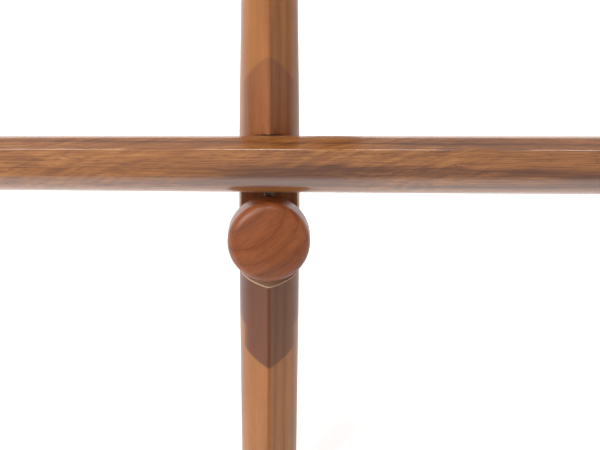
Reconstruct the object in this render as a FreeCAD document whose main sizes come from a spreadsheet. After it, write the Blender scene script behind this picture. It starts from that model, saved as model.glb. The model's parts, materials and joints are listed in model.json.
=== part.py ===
import FreeCAD, Part
import math
import os
from FreeCAD import Placement, Rotation, Vector
from Sketcher import Constraint

# Folding luggage rack: two leg frames cross at a pivot and carry leather straps between their top bars.
# Millimetres. +Z is up, +X runs along the bars, and the origin is on the floor under the middle.
# The outer frame's feet stand at -Y. The inner frame is the same frame turned half round about Z.

document = FreeCAD.newDocument("luggage_rack")

# Driving dimensions, each a plain number in its own cell.
dimensions = [
    ("pivot_height", 236),             # floor to the pivot axis
    ("lean_angle", 40),                # each frame's lean from upright when open
    ("leg_spread", 380),               # between the outer frame's leg axes
    ("leg_pitch", 30),                 # sideways from an outer leg to the inner leg it crosses
    ("leg_above", 300),                # pivot to the leg's top end
    ("leg_foot_spare", 21.924),        # leg drawn past the floor, along its axis, before the foot is cut
    ("leg_foot_radius", 12.6),
    ("leg_joint_radius", 14.1),
    ("leg_pivot_radius", 12.6),
    ("leg_tip_radius", 12.2),
    ("leg_ridge_half_angle", 52),      # between the leg's centre plane and each flat beside the ridge
    ("leg_nose_radius", 1.5),          # round on the leg's ridge
    ("leg_end_round", 7),
    ("low_knob_drop", 153.2),          # pivot to the lower knob axis, along the leg
    ("high_knob_rise", 208.8),         # pivot to the upper knob axis, along the leg
    ("knob_to_bar", 35.2),             # knob axis to bar axis, along the leg
    ("seat_depth_from_axis", 5.5),     # leg axis to the flat seat's floor
    ("seat_radius", 24.5),             # round shoulder of the seat below the knob
    ("bar_length", 650),
    ("bar_middle_radius", 13.4),
    ("bar_end_radius", 12.5),
    ("bar_ridge_half_angle", 60),
    ("bar_nose_radius", 1.2),
    ("bar_ridge_turn", 42),            # turn of the bar's ridge from the leg's ridge
    ("bar_end_round", 8),
    ("bar_seat_gap", 0.05),            # between the bar's thickest part and the seat's floor, across the leg
    ("groove_gap", 0.35),              # between a bar and its groove, where the bar crosses the leg
    ("knob_radius", 19),
    ("knob_thickness", 18),
    ("knob_front_round", 4),
    ("knob_back_round", 1.2),
    ("knob_gap", 0.2),                 # between the knob's back and the eye it turns against
    ("eye_radius", 8),
    ("eye_thickness", 5.5),
    ("eye_stem_radius", 2.6),
    ("eye_stem_past_bar", 1),          # stem end beyond the bar's axis plane
    ("collar_radius", 9),
    ("collar_thickness", 3),
    ("stack_gap", 0.1),                # between stacked metal pieces
    ("stud_radius", 3),
    ("stud_in_leg", 12.5),
    ("bore_gap", 0.06),                # radial play of a shaft or pin in its bore
    ("insert_radius", 5.5),
    ("insert_length", 9),
    ("bolt_radius", 4),
    ("bolt_head_radius", 8.5),
    ("bolt_head_thickness", 4),
    ("bolt_head_round", 2.4),
    ("nut_radius", 7.5),
    ("nut_thickness", 6),
    ("nut_round", 2.7),
    ("bolt_in_nut", 4.2),              # length of bolt inside the nut
    ("flat_from_axis", 12),            # leg axis to the spot face under a bolt head or spacer
    ("flat_radius", 9.5),
    ("side_gap", 0.15),                # side play of the spacer, bolt head and nut
    ("spacer_radius", 8.5),
    ("pad_thickness", 3),
    ("pad_long_radius", 15),
    ("pad_short_radius", 10),
    ("pad_shift", 1.5),                # the foot reaches further on its ridge side
    ("strap_width", 45),
    ("strap_thickness", 2.6),
    ("strap_loop_gap", 0.4),           # between a bar's ridge and the loop round it
    ("strap_lap_start", 40),           # bar axis to where the tail meets the strap
    ("strap_lap_length", 32),
    ("strap_near_place", 75),          # middle of the rack to the inner pair of straps
    ("strap_far_place", 255),          # middle of the rack to the outer pair of straps
    ("rivet_head_radius", 4),
    ("rivet_head_thickness", 1.3),
    ("rivet_head_round", 0.9),
    ("rivet_shank_radius", 1.6),
    ("rivet_gap", 0.3),
]

sheet = document.addObject("Spreadsheet::Sheet", "Sizes")
for row, (alias, value) in enumerate(dimensions, start=1):
    sheet.set("A%d" % row, alias)
    sheet.set("B%d" % row, str(value))
    sheet.setAlias("B%d" % row, alias)
document.recompute()


def size(alias):
    """The number that the sheet holds for one driving dimension."""
    return float(getattr(sheet, alias))


def bind(feature, links):
    """Tie a feature's properties to expressions over the sheet."""
    for name, expression in links.items():
        feature.setExpression(name, expression)


def origin_plane(body, role):
    for feature in body.Origin.OriginFeatures:
        if feature.Role == role:
            return feature
    raise ValueError(role)


def new_body(label, place):
    body = document.addObject("PartDesign::Body", label)
    body.Label = label
    body.Placement = place
    return body


def new_sketch(body, name, plane):
    sketch = body.newObject("Sketcher::SketchObject", name)
    sketch.AttachmentSupport = (origin_plane(body, plane), [""])
    sketch.MapMode = "FlatFace"
    return sketch


# Places. A frame's own axes are X along the bars, Z up the legs and -Y out over the legs' ridges.
lean = Rotation(Vector(1, 0, 0), -size("lean_angle"))
half_turn = Rotation(Vector(0, 0, 1), 180)
pivot = Vector(0, 0, size("pivot_height"))
outward = Rotation(Vector(1, 0, 0), 90)        # turns a piece's own Z to point out over the ridge
sideways = Rotation(Vector(0, 1, 0), 90)       # turns a piece's own Z to point along the bars

frames = {
    "outer": {"place": Placement(pivot, lean), "turn": 1, "leg_x": size("leg_spread") / 2},
    "inner": {
        "place": Placement(pivot, half_turn * lean),
        "turn": -1,
        "leg_x": size("leg_spread") / 2 - size("leg_pitch"),
    },
}
knob_rows = {"low": -size("low_knob_drop"), "top": size("high_knob_rise")}
sides = {"left": -1, "right": 1}

bar_taper_power = 1.5                          # how the bars thin from the middle to the ends
overlap = 1                                    # a cut or a shank starts this far into what it joins
bar_out = size("seat_depth_from_axis") + size("bar_middle_radius") + size("bar_seat_gap")
eye_out = size("seat_depth_from_axis") + size("collar_thickness") + size("stack_gap")
knob_out = eye_out + size("eye_thickness") + size("knob_gap")


def in_frame(frame, position, turn=Rotation()):
    return frames[frame]["place"] * Placement(position, turn)


def bar_radius_at(place_x):
    """A bar thins from the middle to its ends."""
    share = (abs(place_x) / (size("bar_length") / 2)) ** bar_taper_power
    return size("bar_middle_radius") - (size("bar_middle_radius") - size("bar_end_radius")) * share


def leg_side(frame, side):
    """Where the leg on the rack's left or right stands along its own frame's X."""
    return sides[side] * frames[frame]["turn"] * frames[frame]["leg_x"]


def drop_section(body, name, station, radius_link, kind):
    """A round section drawn out to a blunt ridge at -Y, at a station along the body's Z."""
    radius = 12.0                              # as drawn; the sheet then sets each section's own
    nose = size(kind + "_nose_radius")
    half_angle = math.radians(size(kind + "_ridge_half_angle"))
    reach = (radius - nose) / math.sin(half_angle)
    flat_x = math.cos(half_angle)
    flat_y = -math.sin(half_angle)
    sketch = new_sketch(body, name, "XY_Plane")
    sketch.setExpression("AttachmentOffset.Base.z", station)
    right_back = Vector(radius * flat_x, radius * flat_y, 0)
    left_back = Vector(-radius * flat_x, radius * flat_y, 0)
    right_nose = Vector(nose * flat_x, nose * flat_y - reach, 0)
    left_nose = Vector(-nose * flat_x, nose * flat_y - reach, 0)
    back_circle = Part.Circle(Vector(0, 0, 0), Vector(0, 0, 1), radius)
    nose_circle = Part.Circle(Vector(0, -reach, 0), Vector(0, 0, 1), nose)
    sketch.addGeometry(Part.ArcOfCircle(back_circle, -half_angle, math.pi + half_angle))
    sketch.addGeometry(Part.LineSegment(left_back, left_nose))
    sketch.addGeometry(Part.ArcOfCircle(nose_circle, math.pi + half_angle, 2 * math.pi - half_angle))
    sketch.addGeometry(Part.LineSegment(right_nose, right_back))
    sketch.addConstraint(Constraint("Coincident", 0, 3, -1, 1))
    sketch.addConstraint(Constraint("PointOnObject", 2, 3, -2))
    sketch.addConstraint(Constraint("Tangent", 0, 2, 1, 1))
    sketch.addConstraint(Constraint("Tangent", 1, 2, 2, 1))
    sketch.addConstraint(Constraint("Tangent", 2, 2, 3, 1))
    sketch.addConstraint(Constraint("Tangent", 3, 2, 0, 1))
    radius_index = sketch.addConstraint(Constraint("Radius", 0, radius))
    nose_index = sketch.addConstraint(Constraint("Radius", 2, nose))
    angle_index = sketch.addConstraint(Constraint("Angle", 3, math.pi / 2 - half_angle))
    sketch.setExpression("Constraints[%d]" % radius_index, radius_link)
    sketch.setExpression("Constraints[%d]" % nose_index, "Sizes.%s_nose_radius" % kind)
    sketch.setExpression("Constraints[%d]" % angle_index, "(90 - Sizes.%s_ridge_half_angle) * 1 deg" % kind)
    return sketch


def loft(body, sections):
    feature = body.newObject("PartDesign::AdditiveLoft", body.Name + "_loft")
    feature.Profile = (sections[0], [""])
    feature.Sections = [(section, [""]) for section in sections[1:]]
    for section in sections:
        section.Visibility = False
    return feature


def ridge_reach(radius, kind):
    """From the axis to the tip of the ridge of a drop section."""
    nose = size(kind + "_nose_radius")
    return (radius - nose) / math.sin(math.radians(size(kind + "_ridge_half_angle"))) + nose


def round_end(body, name, end, rounding, widest):
    """Turn the arris off one end, as a lathe would: end is the signed station of the end face."""
    away = math.copysign(1, end)
    beyond = 4                                 # the outline runs this far outside the section
    corner = widest - rounding
    shoulder = end - away * rounding
    past = end + away * beyond
    middle = rounding * math.sqrt(0.5)
    sketch = new_sketch(body, name + "_outline", "XZ_Plane")
    tip = Vector(corner, end, 0)
    side = Vector(widest, shoulder, 0)
    arc_middle = Vector(corner + middle, shoulder + away * middle, 0)
    outline = [side, Vector(widest + beyond, shoulder, 0), Vector(widest + beyond, past, 0)]
    outline += [Vector(corner, past, 0), tip]
    sketch.addGeometry(Part.Arc(tip, arc_middle, side))
    for start, finish in zip(outline, outline[1:]):
        sketch.addGeometry(Part.LineSegment(start, finish))
    feature = body.newObject("PartDesign::Groove", name)
    feature.Profile = sketch
    feature.ReferenceAxis = (sketch, ["V_Axis"])
    feature.Angle = 360
    sketch.Visibility = False
    return feature


def cut_round(body, name, radius_link, length, place):
    """Take a straight round cut out of a body, its axis along the place's own Z."""
    feature = body.newObject("PartDesign::SubtractiveCylinder", name)
    feature.Height = length
    feature.Placement = place
    feature.setExpression("Radius", radius_link)
    return feature


def cut_box(body, name, length, width, height, place):
    feature = body.newObject("PartDesign::SubtractiveBox", name)
    feature.Length = length
    feature.Width = width
    feature.Height = height
    feature.Placement = place
    return feature


def pad_circle(body, name, radius_link, length_link):
    sketch = new_sketch(body, name + "_circle", "XY_Plane")
    sketch.addGeometry(Part.Circle(Vector(0, 0, 0), Vector(0, 0, 1), 10))
    sketch.addConstraint(Constraint("Coincident", 0, 3, -1, 1))
    radius_index = sketch.addConstraint(Constraint("Radius", 0, 10))
    sketch.setExpression("Constraints[%d]" % radius_index, radius_link)
    feature = body.newObject("PartDesign::Pad", name)
    feature.Profile = sketch
    feature.setExpression("Length", length_link)
    sketch.Visibility = False
    return feature


def round_edges(body, name, feature, height, radius_link):
    """Fillet the circular edges of a feature that lie at one height along the body's Z."""
    names = []
    for index, edge in enumerate(feature.Shape.Edges, start=1):
        box = edge.BoundBox
        if abs(box.ZMin - height) < 1e-6 and abs(box.ZMax - height) < 1e-6:
            names.append("Edge%d" % index)
    fillet = body.newObject("PartDesign::Fillet", name)
    fillet.Base = (feature, names)
    fillet.setExpression("Radius", radius_link)
    return fillet


def make_leg(frame, side):
    """A turned and ridged leg with a seat and groove at each bar, a pivot bore and a cut foot."""
    body = new_body("%s_leg_%s" % (frame, side), in_frame(frame, Vector(leg_side(frame, side), 0, 0)))
    stations = [
        ("foot", "-Sizes.pivot_height / cos(Sizes.lean_angle) - Sizes.leg_foot_spare", "Sizes.leg_foot_radius"),
        ("low", "-Sizes.low_knob_drop + Sizes.seat_radius / 2", "Sizes.leg_joint_radius"),
        ("pivot", "0", "Sizes.leg_pivot_radius"),
        ("high", "Sizes.high_knob_rise + Sizes.seat_radius / 2", "Sizes.leg_joint_radius"),
        ("tip", "Sizes.leg_above", "Sizes.leg_tip_radius"),
    ]
    loft(body, [drop_section(body, "%s_%s" % (body.Name, name), station, radius, "leg")
                for name, station, radius in stations])
    tip_reach = ridge_reach(size("leg_tip_radius"), "leg")
    round_end(body, body.Name + "_end", size("leg_above"), size("leg_end_round"), tip_reach)

    across = 4 * size("leg_joint_radius")
    floor = size("seat_depth_from_axis")
    for row, along in knob_rows.items():
        name = "%s_%s" % (body.Name, row)
        groove_at = Vector(-across / 2, -bar_out, along + size("knob_to_bar"))
        cut_round(body, name + "_groove", "%r + Sizes.groove_gap" % bar_radius_at(frames[frame]["leg_x"]),
                  across, Placement(groove_at, sideways))
        cut_round(body, name + "_seat", "Sizes.seat_radius", across,
                  Placement(Vector(0, -floor, along), outward))
        cut_box(body, name + "_flat", across, across, size("knob_to_bar"),
                Placement(Vector(-across / 2, -floor - across, along), Rotation()))
        bore_foot = Vector(0, size("stud_in_leg") + size("stack_gap") - floor, along)
        cut_round(body, name + "_bore", "Sizes.stud_radius + Sizes.bore_gap", across,
                  Placement(bore_foot, outward))
    cut_round(body, body.Name + "_pivot_bore", "Sizes.bolt_radius + Sizes.bore_gap", across,
              Placement(Vector(-across / 2, 0, 0), sideways))
    for away in (-1, 1):
        cut_round(body, "%s_spot_%s" % (body.Name, "minus" if away < 0 else "plus"),
                  "Sizes.flat_radius", across / 2,
                  Placement(Vector(away * size("flat_from_axis"), 0, 0),
                            Rotation(Vector(0, 1, 0), away * 90)))

    # The floor cut is level when the leg leans at its open angle, and leaves room for the pad.
    level = Rotation(Vector(1, 0, 0), size("lean_angle"))
    below = 6 * size("leg_joint_radius")
    cut_centre = level.multVec(Vector(0, 0, size("pad_thickness") - size("pivot_height") - below))
    half = below / 2
    corner = cut_centre + level.multVec(Vector(-half, -half, 0))
    foot_shift = math.tan(math.radians(size("lean_angle"))) * size("pivot_height")
    corner = corner + level.multVec(Vector(0, -foot_shift, 0))
    cut_box(body, body.Name + "_floor_cut", below, below, below, Placement(corner, level))
    return body


def make_bar(frame, row):
    """A long bar, thickest in the middle, with a drilled hole for each eye's stem."""
    body_name = "%s_%s_bar" % (frame, row)
    turn = math.radians(size("bar_ridge_turn"))
    axes = (Vector(0, -math.sin(turn), -math.cos(turn)), Vector(0, math.cos(turn), -math.sin(turn)))
    rotation = Rotation(axes[0], axes[1], Vector(1, 0, 0), "ZXY")
    centre = Vector(0, -bar_out, knob_rows[row] + size("knob_to_bar"))
    body = new_body(body_name, in_frame(frame, centre, rotation))
    sections = []
    for share in (-1, -0.5, 0, 0.5, 1):
        name = "%s_section_%d" % (body.Name, len(sections) + 1)
        radius = "Sizes.bar_middle_radius - (Sizes.bar_middle_radius - Sizes.bar_end_radius) * %g"
        thinning = abs(share) ** bar_taper_power
        station = "Sizes.bar_length / 2 * %g" % share
        sections.append(drop_section(body, name, station, radius % thinning, "bar"))
    loft(body, sections)
    end_reach = ridge_reach(size("bar_end_radius"), "bar")
    for name, away in (("start", -1), ("finish", 1)):
        round_end(body, "%s_%s_end" % (body.Name, name), away * size("bar_length") / 2,
                  size("bar_end_round"), end_reach)

    up_leg = Vector(-math.cos(turn), -math.sin(turn), 0)
    behind = bar_out - eye_out - size("eye_thickness") / 2
    in_section = Vector(-math.sin(turn) * behind, math.cos(turn) * behind, 0)
    mouth = 1.5 * size("bar_middle_radius")    # the hole is cut from outside the bar
    depth = size("eye_stem_past_bar") + size("stack_gap")
    for side in sides:
        start = in_section - up_leg * mouth + Vector(0, 0, leg_side(frame, side))
        cut_round(body, "%s_hole_%s" % (body.Name, side), "Sizes.eye_stem_radius + Sizes.bore_gap",
                  mouth + depth, Placement(start, Rotation(Vector(0, 0, 1), up_leg)))
    return body


def make_knob(frame, row, side):
    """A round wooden knob with a blind hole in its back for the threaded insert."""
    at = Vector(leg_side(frame, side), -knob_out, knob_rows[row])
    body = new_body("%s_%s_knob_%s" % (frame, row, side), in_frame(frame, at, outward))
    disc = pad_circle(body, body.Name + "_disc", "Sizes.knob_radius", "Sizes.knob_thickness")
    document.recompute()
    front = round_edges(body, body.Name + "_front", disc, size("knob_thickness"), "Sizes.knob_front_round")
    document.recompute()
    round_edges(body, body.Name + "_back", front, 0, "Sizes.knob_back_round")
    cut_round(body, body.Name + "_socket", "Sizes.insert_radius + Sizes.bore_gap",
              size("insert_length") + size("stack_gap") + overlap,
              Placement(Vector(0, 0, -overlap), Rotation()))
    return body


def make_insert(frame, row, side):
    """The brass insert in a knob, bored for the stud."""
    at = Vector(leg_side(frame, side), -knob_out, knob_rows[row])
    body = new_body("%s_%s_insert_%s" % (frame, row, side), in_frame(frame, at, outward))
    pad_circle(body, body.Name + "_plug", "Sizes.insert_radius", "Sizes.insert_length")
    cut_round(body, body.Name + "_bore", "Sizes.stud_radius + Sizes.bore_gap",
              3 * size("insert_length"), Placement(Vector(0, 0, -size("insert_length")), Rotation()))
    return body


def make_eye(frame, row, side):
    """A steel eye round the stud, its stem running up the leg into the bar."""
    at = Vector(leg_side(frame, side), -eye_out, knob_rows[row])
    body = new_body("%s_%s_eye_%s" % (frame, row, side), in_frame(frame, at, outward))
    pad_circle(body, body.Name + "_ring", "Sizes.eye_radius", "Sizes.eye_thickness")
    stem = body.newObject("PartDesign::AdditiveCylinder", body.Name + "_stem")
    stem.Placement = Placement(Vector(0, 0, size("eye_thickness") / 2), Rotation(Vector(1, 0, 0), -90))
    bind(stem, {
        "Radius": "Sizes.eye_stem_radius",
        "Height": "Sizes.knob_to_bar + Sizes.eye_stem_past_bar",
    })
    cut_round(body, body.Name + "_bore", "Sizes.stud_radius + Sizes.stack_gap",
              3 * size("eye_thickness"), Placement(Vector(0, 0, -size("eye_thickness")), Rotation()))
    return body


def group(label, pieces):
    """One sub-part that holds several alike solids."""
    feature = document.addObject("Part::Compound", label)
    feature.Label = label
    feature.Links = pieces
    for piece in pieces:
        piece.Visibility = False
    return feature


def make_studs(frame):
    """The four studs that stand out of a frame's legs."""
    studs = []
    for row, along in knob_rows.items():
        for side in sides:
            stud = document.addObject("Part::Cylinder", "%s_%s_stud_%s" % (frame, row, side))
            foot = size("stud_in_leg") - size("seat_depth_from_axis")
            stud.Placement = in_frame(frame, Vector(leg_side(frame, side), foot, along), outward)
            bind(stud, {"Radius": "Sizes.stud_radius"})
            stud.Height = foot + knob_out + size("insert_length") - size("stack_gap")
            studs.append(stud)
    return group(frame + "_studs", studs)


def make_collars(frame):
    """The four steel collars that hold the eyes off a frame's seats."""
    collars = []
    for row, along in knob_rows.items():
        for side in sides:
            name = "%s_%s_collar_%s" % (frame, row, side)
            at = Vector(leg_side(frame, side), -size("seat_depth_from_axis"), along)
            disc = document.addObject("Part::Cylinder", name + "_disc")
            bind(disc, {"Radius": "Sizes.collar_radius", "Height": "Sizes.collar_thickness"})
            bore = document.addObject("Part::Cylinder", name + "_bore")
            bind(bore, {
                "Radius": "Sizes.stud_radius + Sizes.stack_gap",
                "Height": "Sizes.collar_thickness",
            })
            collar = document.addObject("Part::Cut", name)
            collar.Base = disc
            collar.Tool = bore
            collar.Placement = in_frame(frame, at, outward)
            collars.append(collar)
    return group(frame + "_collars", collars)


def make_bolt(side):
    """The pivot bolt, its head outside the outer leg and its end in the nut."""
    away = sides[side]
    head_face = size("leg_spread") / 2 + size("flat_from_axis") + size("side_gap")
    nut_face = frames["inner"]["leg_x"] - size("flat_from_axis") - size("side_gap")
    inwards = Rotation(Vector(0, 1, 0), -away * 90)
    at = pivot + Vector(away * (head_face + size("bolt_head_thickness")), 0, 0)
    body = new_body("pivot_bolt_" + side, Placement(at, inwards))
    head = pad_circle(body, body.Name + "_head", "Sizes.bolt_head_radius", "Sizes.bolt_head_thickness")
    document.recompute()
    round_edges(body, body.Name + "_dome", head, 0, "Sizes.bolt_head_round")
    shank = body.newObject("PartDesign::AdditiveCylinder", body.Name + "_shank")
    shank.setExpression("Radius", "Sizes.bolt_radius")
    shank.Height = head_face - nut_face + size("bolt_in_nut") + overlap
    shank.Placement = Placement(Vector(0, 0, size("bolt_head_thickness") - overlap), Rotation())
    return body


def make_nut(side):
    """The domed nut inside the inner leg."""
    away = sides[side]
    face = frames["inner"]["leg_x"] - size("flat_from_axis") - size("side_gap")
    inwards = Rotation(Vector(0, 1, 0), -away * 90)
    body = new_body("pivot_nut_" + side, Placement(pivot + Vector(away * face, 0, 0), inwards))
    disc = pad_circle(body, body.Name + "_disc", "Sizes.nut_radius", "Sizes.nut_thickness")
    document.recompute()
    round_edges(body, body.Name + "_dome", disc, size("nut_thickness"), "Sizes.nut_round")
    cut_round(body, body.Name + "_bore", "Sizes.bolt_radius + Sizes.bore_gap",
              size("bolt_in_nut") + size("stack_gap") + overlap,
              Placement(Vector(0, 0, -overlap), Rotation()))
    return body


def make_spacers():
    """The two spacers on the pivot bolts, between the crossing legs."""
    spacers = []
    thickness = "Sizes.leg_pitch - 2 * Sizes.flat_from_axis - 2 * Sizes.side_gap"
    for side, away in sides.items():
        face = frames["inner"]["leg_x"] + size("flat_from_axis") + size("side_gap")
        at = pivot + Vector(away * face, 0, 0)
        disc = document.addObject("Part::Cylinder", "spacer_disc_" + side)
        bind(disc, {"Radius": "Sizes.spacer_radius", "Height": thickness})
        bore = document.addObject("Part::Cylinder", "spacer_bore_" + side)
        bind(bore, {"Radius": "Sizes.bolt_radius + Sizes.bore_gap", "Height": thickness})
        spacer = document.addObject("Part::Cut", "spacer_" + side)
        spacer.Base = disc
        spacer.Tool = bore
        spacer.Placement = Placement(at, Rotation(Vector(0, 1, 0), away * 90))
        spacers.append(spacer)
    return group("pivot_spacers", spacers)


def make_pad(frame, side):
    """The oval pad glued under a leg's level foot."""
    turn = frames[frame]["turn"]
    drop = size("pivot_height") - size("pad_thickness")
    foot_y = -turn * drop * math.tan(math.radians(size("lean_angle")))
    at = Vector(sides[side] * frames[frame]["leg_x"], foot_y - turn * size("pad_shift"), 0)
    body = new_body("%s_foot_pad_%s" % (frame, side), Placement(at, Rotation(Vector(0, 0, 1), 90)))
    sketch = new_sketch(body, body.Name + "_oval", "XY_Plane")
    sketch.addGeometry(Part.Ellipse(Vector(0, 0, 0), size("pad_long_radius"), size("pad_short_radius")))
    sketch.exposeInternalGeometry(0)
    sketch.addConstraint(Constraint("Coincident", 0, 3, -1, 1))
    sketch.addConstraint(Constraint("Horizontal", 1))
    long_index = sketch.addConstraint(Constraint("Distance", 1, 2 * size("pad_long_radius")))
    short_index = sketch.addConstraint(Constraint("Distance", 2, 2 * size("pad_short_radius")))
    sketch.setExpression("Constraints[%d]" % long_index, "2 * Sizes.pad_long_radius")
    sketch.setExpression("Constraints[%d]" % short_index, "2 * Sizes.pad_short_radius")
    pad = body.newObject("PartDesign::Pad", body.Name + "_pad")
    pad.Profile = sketch
    pad.setExpression("Length", "Sizes.pad_thickness")
    sketch.Visibility = False
    return body


# Top bars, seen along X: the middle of each bar in the rack's own axes.
open_lean = math.radians(size("lean_angle"))
top_along = size("high_knob_rise") + size("knob_to_bar")
top_bar_y = top_along * math.sin(open_lean) - bar_out * math.cos(open_lean)
top_bar_z = size("pivot_height") + top_along * math.cos(open_lean) + bar_out * math.sin(open_lean)
rivet_places = [0.25, 0.75]            # along the lap


def strap_levels(place_x):
    """The loop's inner and outer radius, and the strap's top, where the bar has its own thickness."""
    inside = ridge_reach(bar_radius_at(place_x), "bar") + size("strap_loop_gap")
    outside = inside + size("strap_thickness")
    return inside, outside, top_bar_z + outside


def rivet_seat(strap_top):
    """The underside of an upper rivet head, which is sunk so that its top lies under the strap's."""
    return strap_top - size("rivet_head_thickness") - size("stack_gap")


def tangent_angle(point, radius):
    """The angle, from +Y towards +Z, where the lower tangent from a point meets a circle at the origin."""
    return math.atan2(point.z, point.y) + math.acos(radius / point.Length)


def on_circle(angle, radius):
    return Vector(0, radius * math.cos(angle), radius * math.sin(angle))


def loop_turn(inner_point, radius):
    """The arc round the bar at +Y, from its top down to the tangent from a point further in."""
    last = tangent_angle(inner_point, radius)
    first = math.pi / 2
    middle = (first + last - 2 * math.pi) / 2
    points = [on_circle(angle, radius) for angle in (first, middle, last)]
    return Part.Arc(*points).toShape()


def to_side(shape, away):
    """Carry a shape drawn about a bar at the origin to the top bar at +Y or -Y."""
    moved = shape.translated(Vector(0, top_bar_y, top_bar_z))
    return moved if away > 0 else moved.mirror(Vector(0, 0, 0), Vector(0, 1, 0))


def make_strap(label, place_x):
    """A leather strap looped round both top bars. Its tangent runs need Part's own functions."""
    width = size("strap_width")
    loop_inside, loop_outside, strap_top = strap_levels(place_x)
    lap_start = -size("strap_lap_start")
    lap_end = lap_start - size("strap_lap_length")
    lap_face = loop_inside - size("strap_thickness")
    void_tip = Vector(0, lap_start, loop_inside)
    outer_tip = Vector(0, lap_start, lap_face)
    outer_turn = loop_turn(outer_tip, loop_outside)
    half = [
        Part.makeLine(Vector(0, -top_bar_y, loop_outside), Vector(0, 0, loop_outside)),
        outer_turn,
        Part.makeLine(on_circle(tangent_angle(outer_tip, loop_outside), loop_outside), outer_tip),
        Part.makeLine(outer_tip, Vector(0, lap_end, lap_face)),
        Part.makeLine(Vector(0, lap_end, lap_face), Vector(0, lap_end, loop_inside)),
        Part.makeLine(Vector(0, lap_end, loop_inside), Vector(0, -top_bar_y, loop_inside)),
    ]
    void = Part.Wire(Part.__sortEdges__([
        Part.makeLine(void_tip, Vector(0, 0, loop_inside)),
        loop_turn(void_tip, loop_inside),
        Part.makeLine(on_circle(tangent_angle(void_tip, loop_inside), loop_inside), void_tip),
    ]))
    edges = [to_side(edge, away) for away in (1, -1) for edge in half]
    outline = Part.Wire(Part.__sortEdges__(edges))
    across = Vector(width, 0, 0)
    strap = Part.Face(outline).extrude(across)
    strap = strap.cut([Part.Face(to_side(void, away)).extrude(across) for away in (1, -1)])
    strap.translate(across * -0.5)
    for away in (-1, 1):
        for share in rivet_places:
            rivet_y = away * (top_bar_y - size("strap_lap_start") - share * size("strap_lap_length"))
            base = Vector(0, rivet_y, strap_top - 3 * size("strap_thickness"))
            recess = Vector(0, rivet_y, rivet_seat(strap_top) - size("stack_gap"))
            hole = size("rivet_shank_radius") + size("rivet_gap")
            sunk = size("rivet_head_radius") + size("rivet_gap")
            strap = strap.cut([
                Part.makeCylinder(hole, 4 * size("strap_thickness"), base),
                Part.makeCylinder(sunk, size("strap_thickness"), recess),
            ])
    feature = document.addObject("Part::Feature", label)
    feature.Label = label
    feature.Shape = strap.removeSplitter().Solids[0]
    feature.Placement = Placement(Vector(place_x, 0, 0), Rotation())
    return feature


def make_rivets(label, away, strap_places):
    """The rivets through one side's laps. Each is turned about its own axis."""
    head = size("rivet_head_radius")
    cap = size("rivet_head_thickness")
    gap = size("stack_gap")
    solids = []
    for place_x in strap_places:
        strap_top = strap_levels(place_x)[2]
        low = strap_top - 2 * size("strap_thickness") - gap
        high = rivet_seat(strap_top)
        for share in rivet_places:
            rivet_y = away * (top_bar_y - size("strap_lap_start") - share * size("strap_lap_length"))
            shank = Part.makeCylinder(size("rivet_shank_radius"), high - low, Vector(place_x, rivet_y, low))
            upper = Part.makeCylinder(head, cap, Vector(place_x, rivet_y, high))
            upper = upper.makeFillet(size("rivet_head_round"), [upper.Edges[0]])
            lower = Part.makeCylinder(head, cap, Vector(place_x, rivet_y, low - cap))
            solids.append(shank.fuse([upper, lower]).removeSplitter().Solids[0])
    feature = document.addObject("Part::Feature", label)
    feature.Label = label
    feature.Shape = Part.makeCompound(solids)
    return feature


sub_parts = []
for frame_name in frames:
    for side_name in sides:
        sub_parts.append(make_leg(frame_name, side_name))
        sub_parts.append(make_pad(frame_name, side_name))
    for row_name in knob_rows:
        sub_parts.append(make_bar(frame_name, row_name))
        for side_name in sides:
            sub_parts.append(make_knob(frame_name, row_name, side_name))
            sub_parts.append(make_insert(frame_name, row_name, side_name))
            sub_parts.append(make_eye(frame_name, row_name, side_name))
    sub_parts.append(make_studs(frame_name))
    sub_parts.append(make_collars(frame_name))

for side_name in sides:
    sub_parts.append(make_bolt(side_name))
    sub_parts.append(make_nut(side_name))
sub_parts.append(make_spacers())

strap_places = {
    "strap_far_left": -size("strap_far_place"),
    "strap_near_left": -size("strap_near_place"),
    "strap_near_right": size("strap_near_place"),
    "strap_far_right": size("strap_far_place"),
}
for strap_name, strap_x in strap_places.items():
    sub_parts.append(make_strap(strap_name, strap_x))
sub_parts.append(make_rivets("rear_rivets", 1, strap_places.values()))
sub_parts.append(make_rivets("front_rivets", -1, strap_places.values()))

document.recompute()

for feature in document.Objects:
    if "Invalid" in feature.State or "Error" in feature.State:
        raise RuntimeError("%s did not build: %s" % (feature.Name, feature.State))
for sub_part in sub_parts:
    if sub_part.Shape.isNull() or not sub_part.Shape.isValid():
        raise RuntimeError("%s has no valid shape" % sub_part.Label)

os.makedirs("parts", exist_ok=True)
for sub_part in sub_parts:
    sub_part.Shape.exportStep("parts/%s.step" % sub_part.Label)
    print(sub_part.Label, len(sub_part.Shape.Solids), round(sub_part.Shape.Volume, 1))
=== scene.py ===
import json
import math
import bmesh
import bpy
from mathutils import Matrix, Vector


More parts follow.
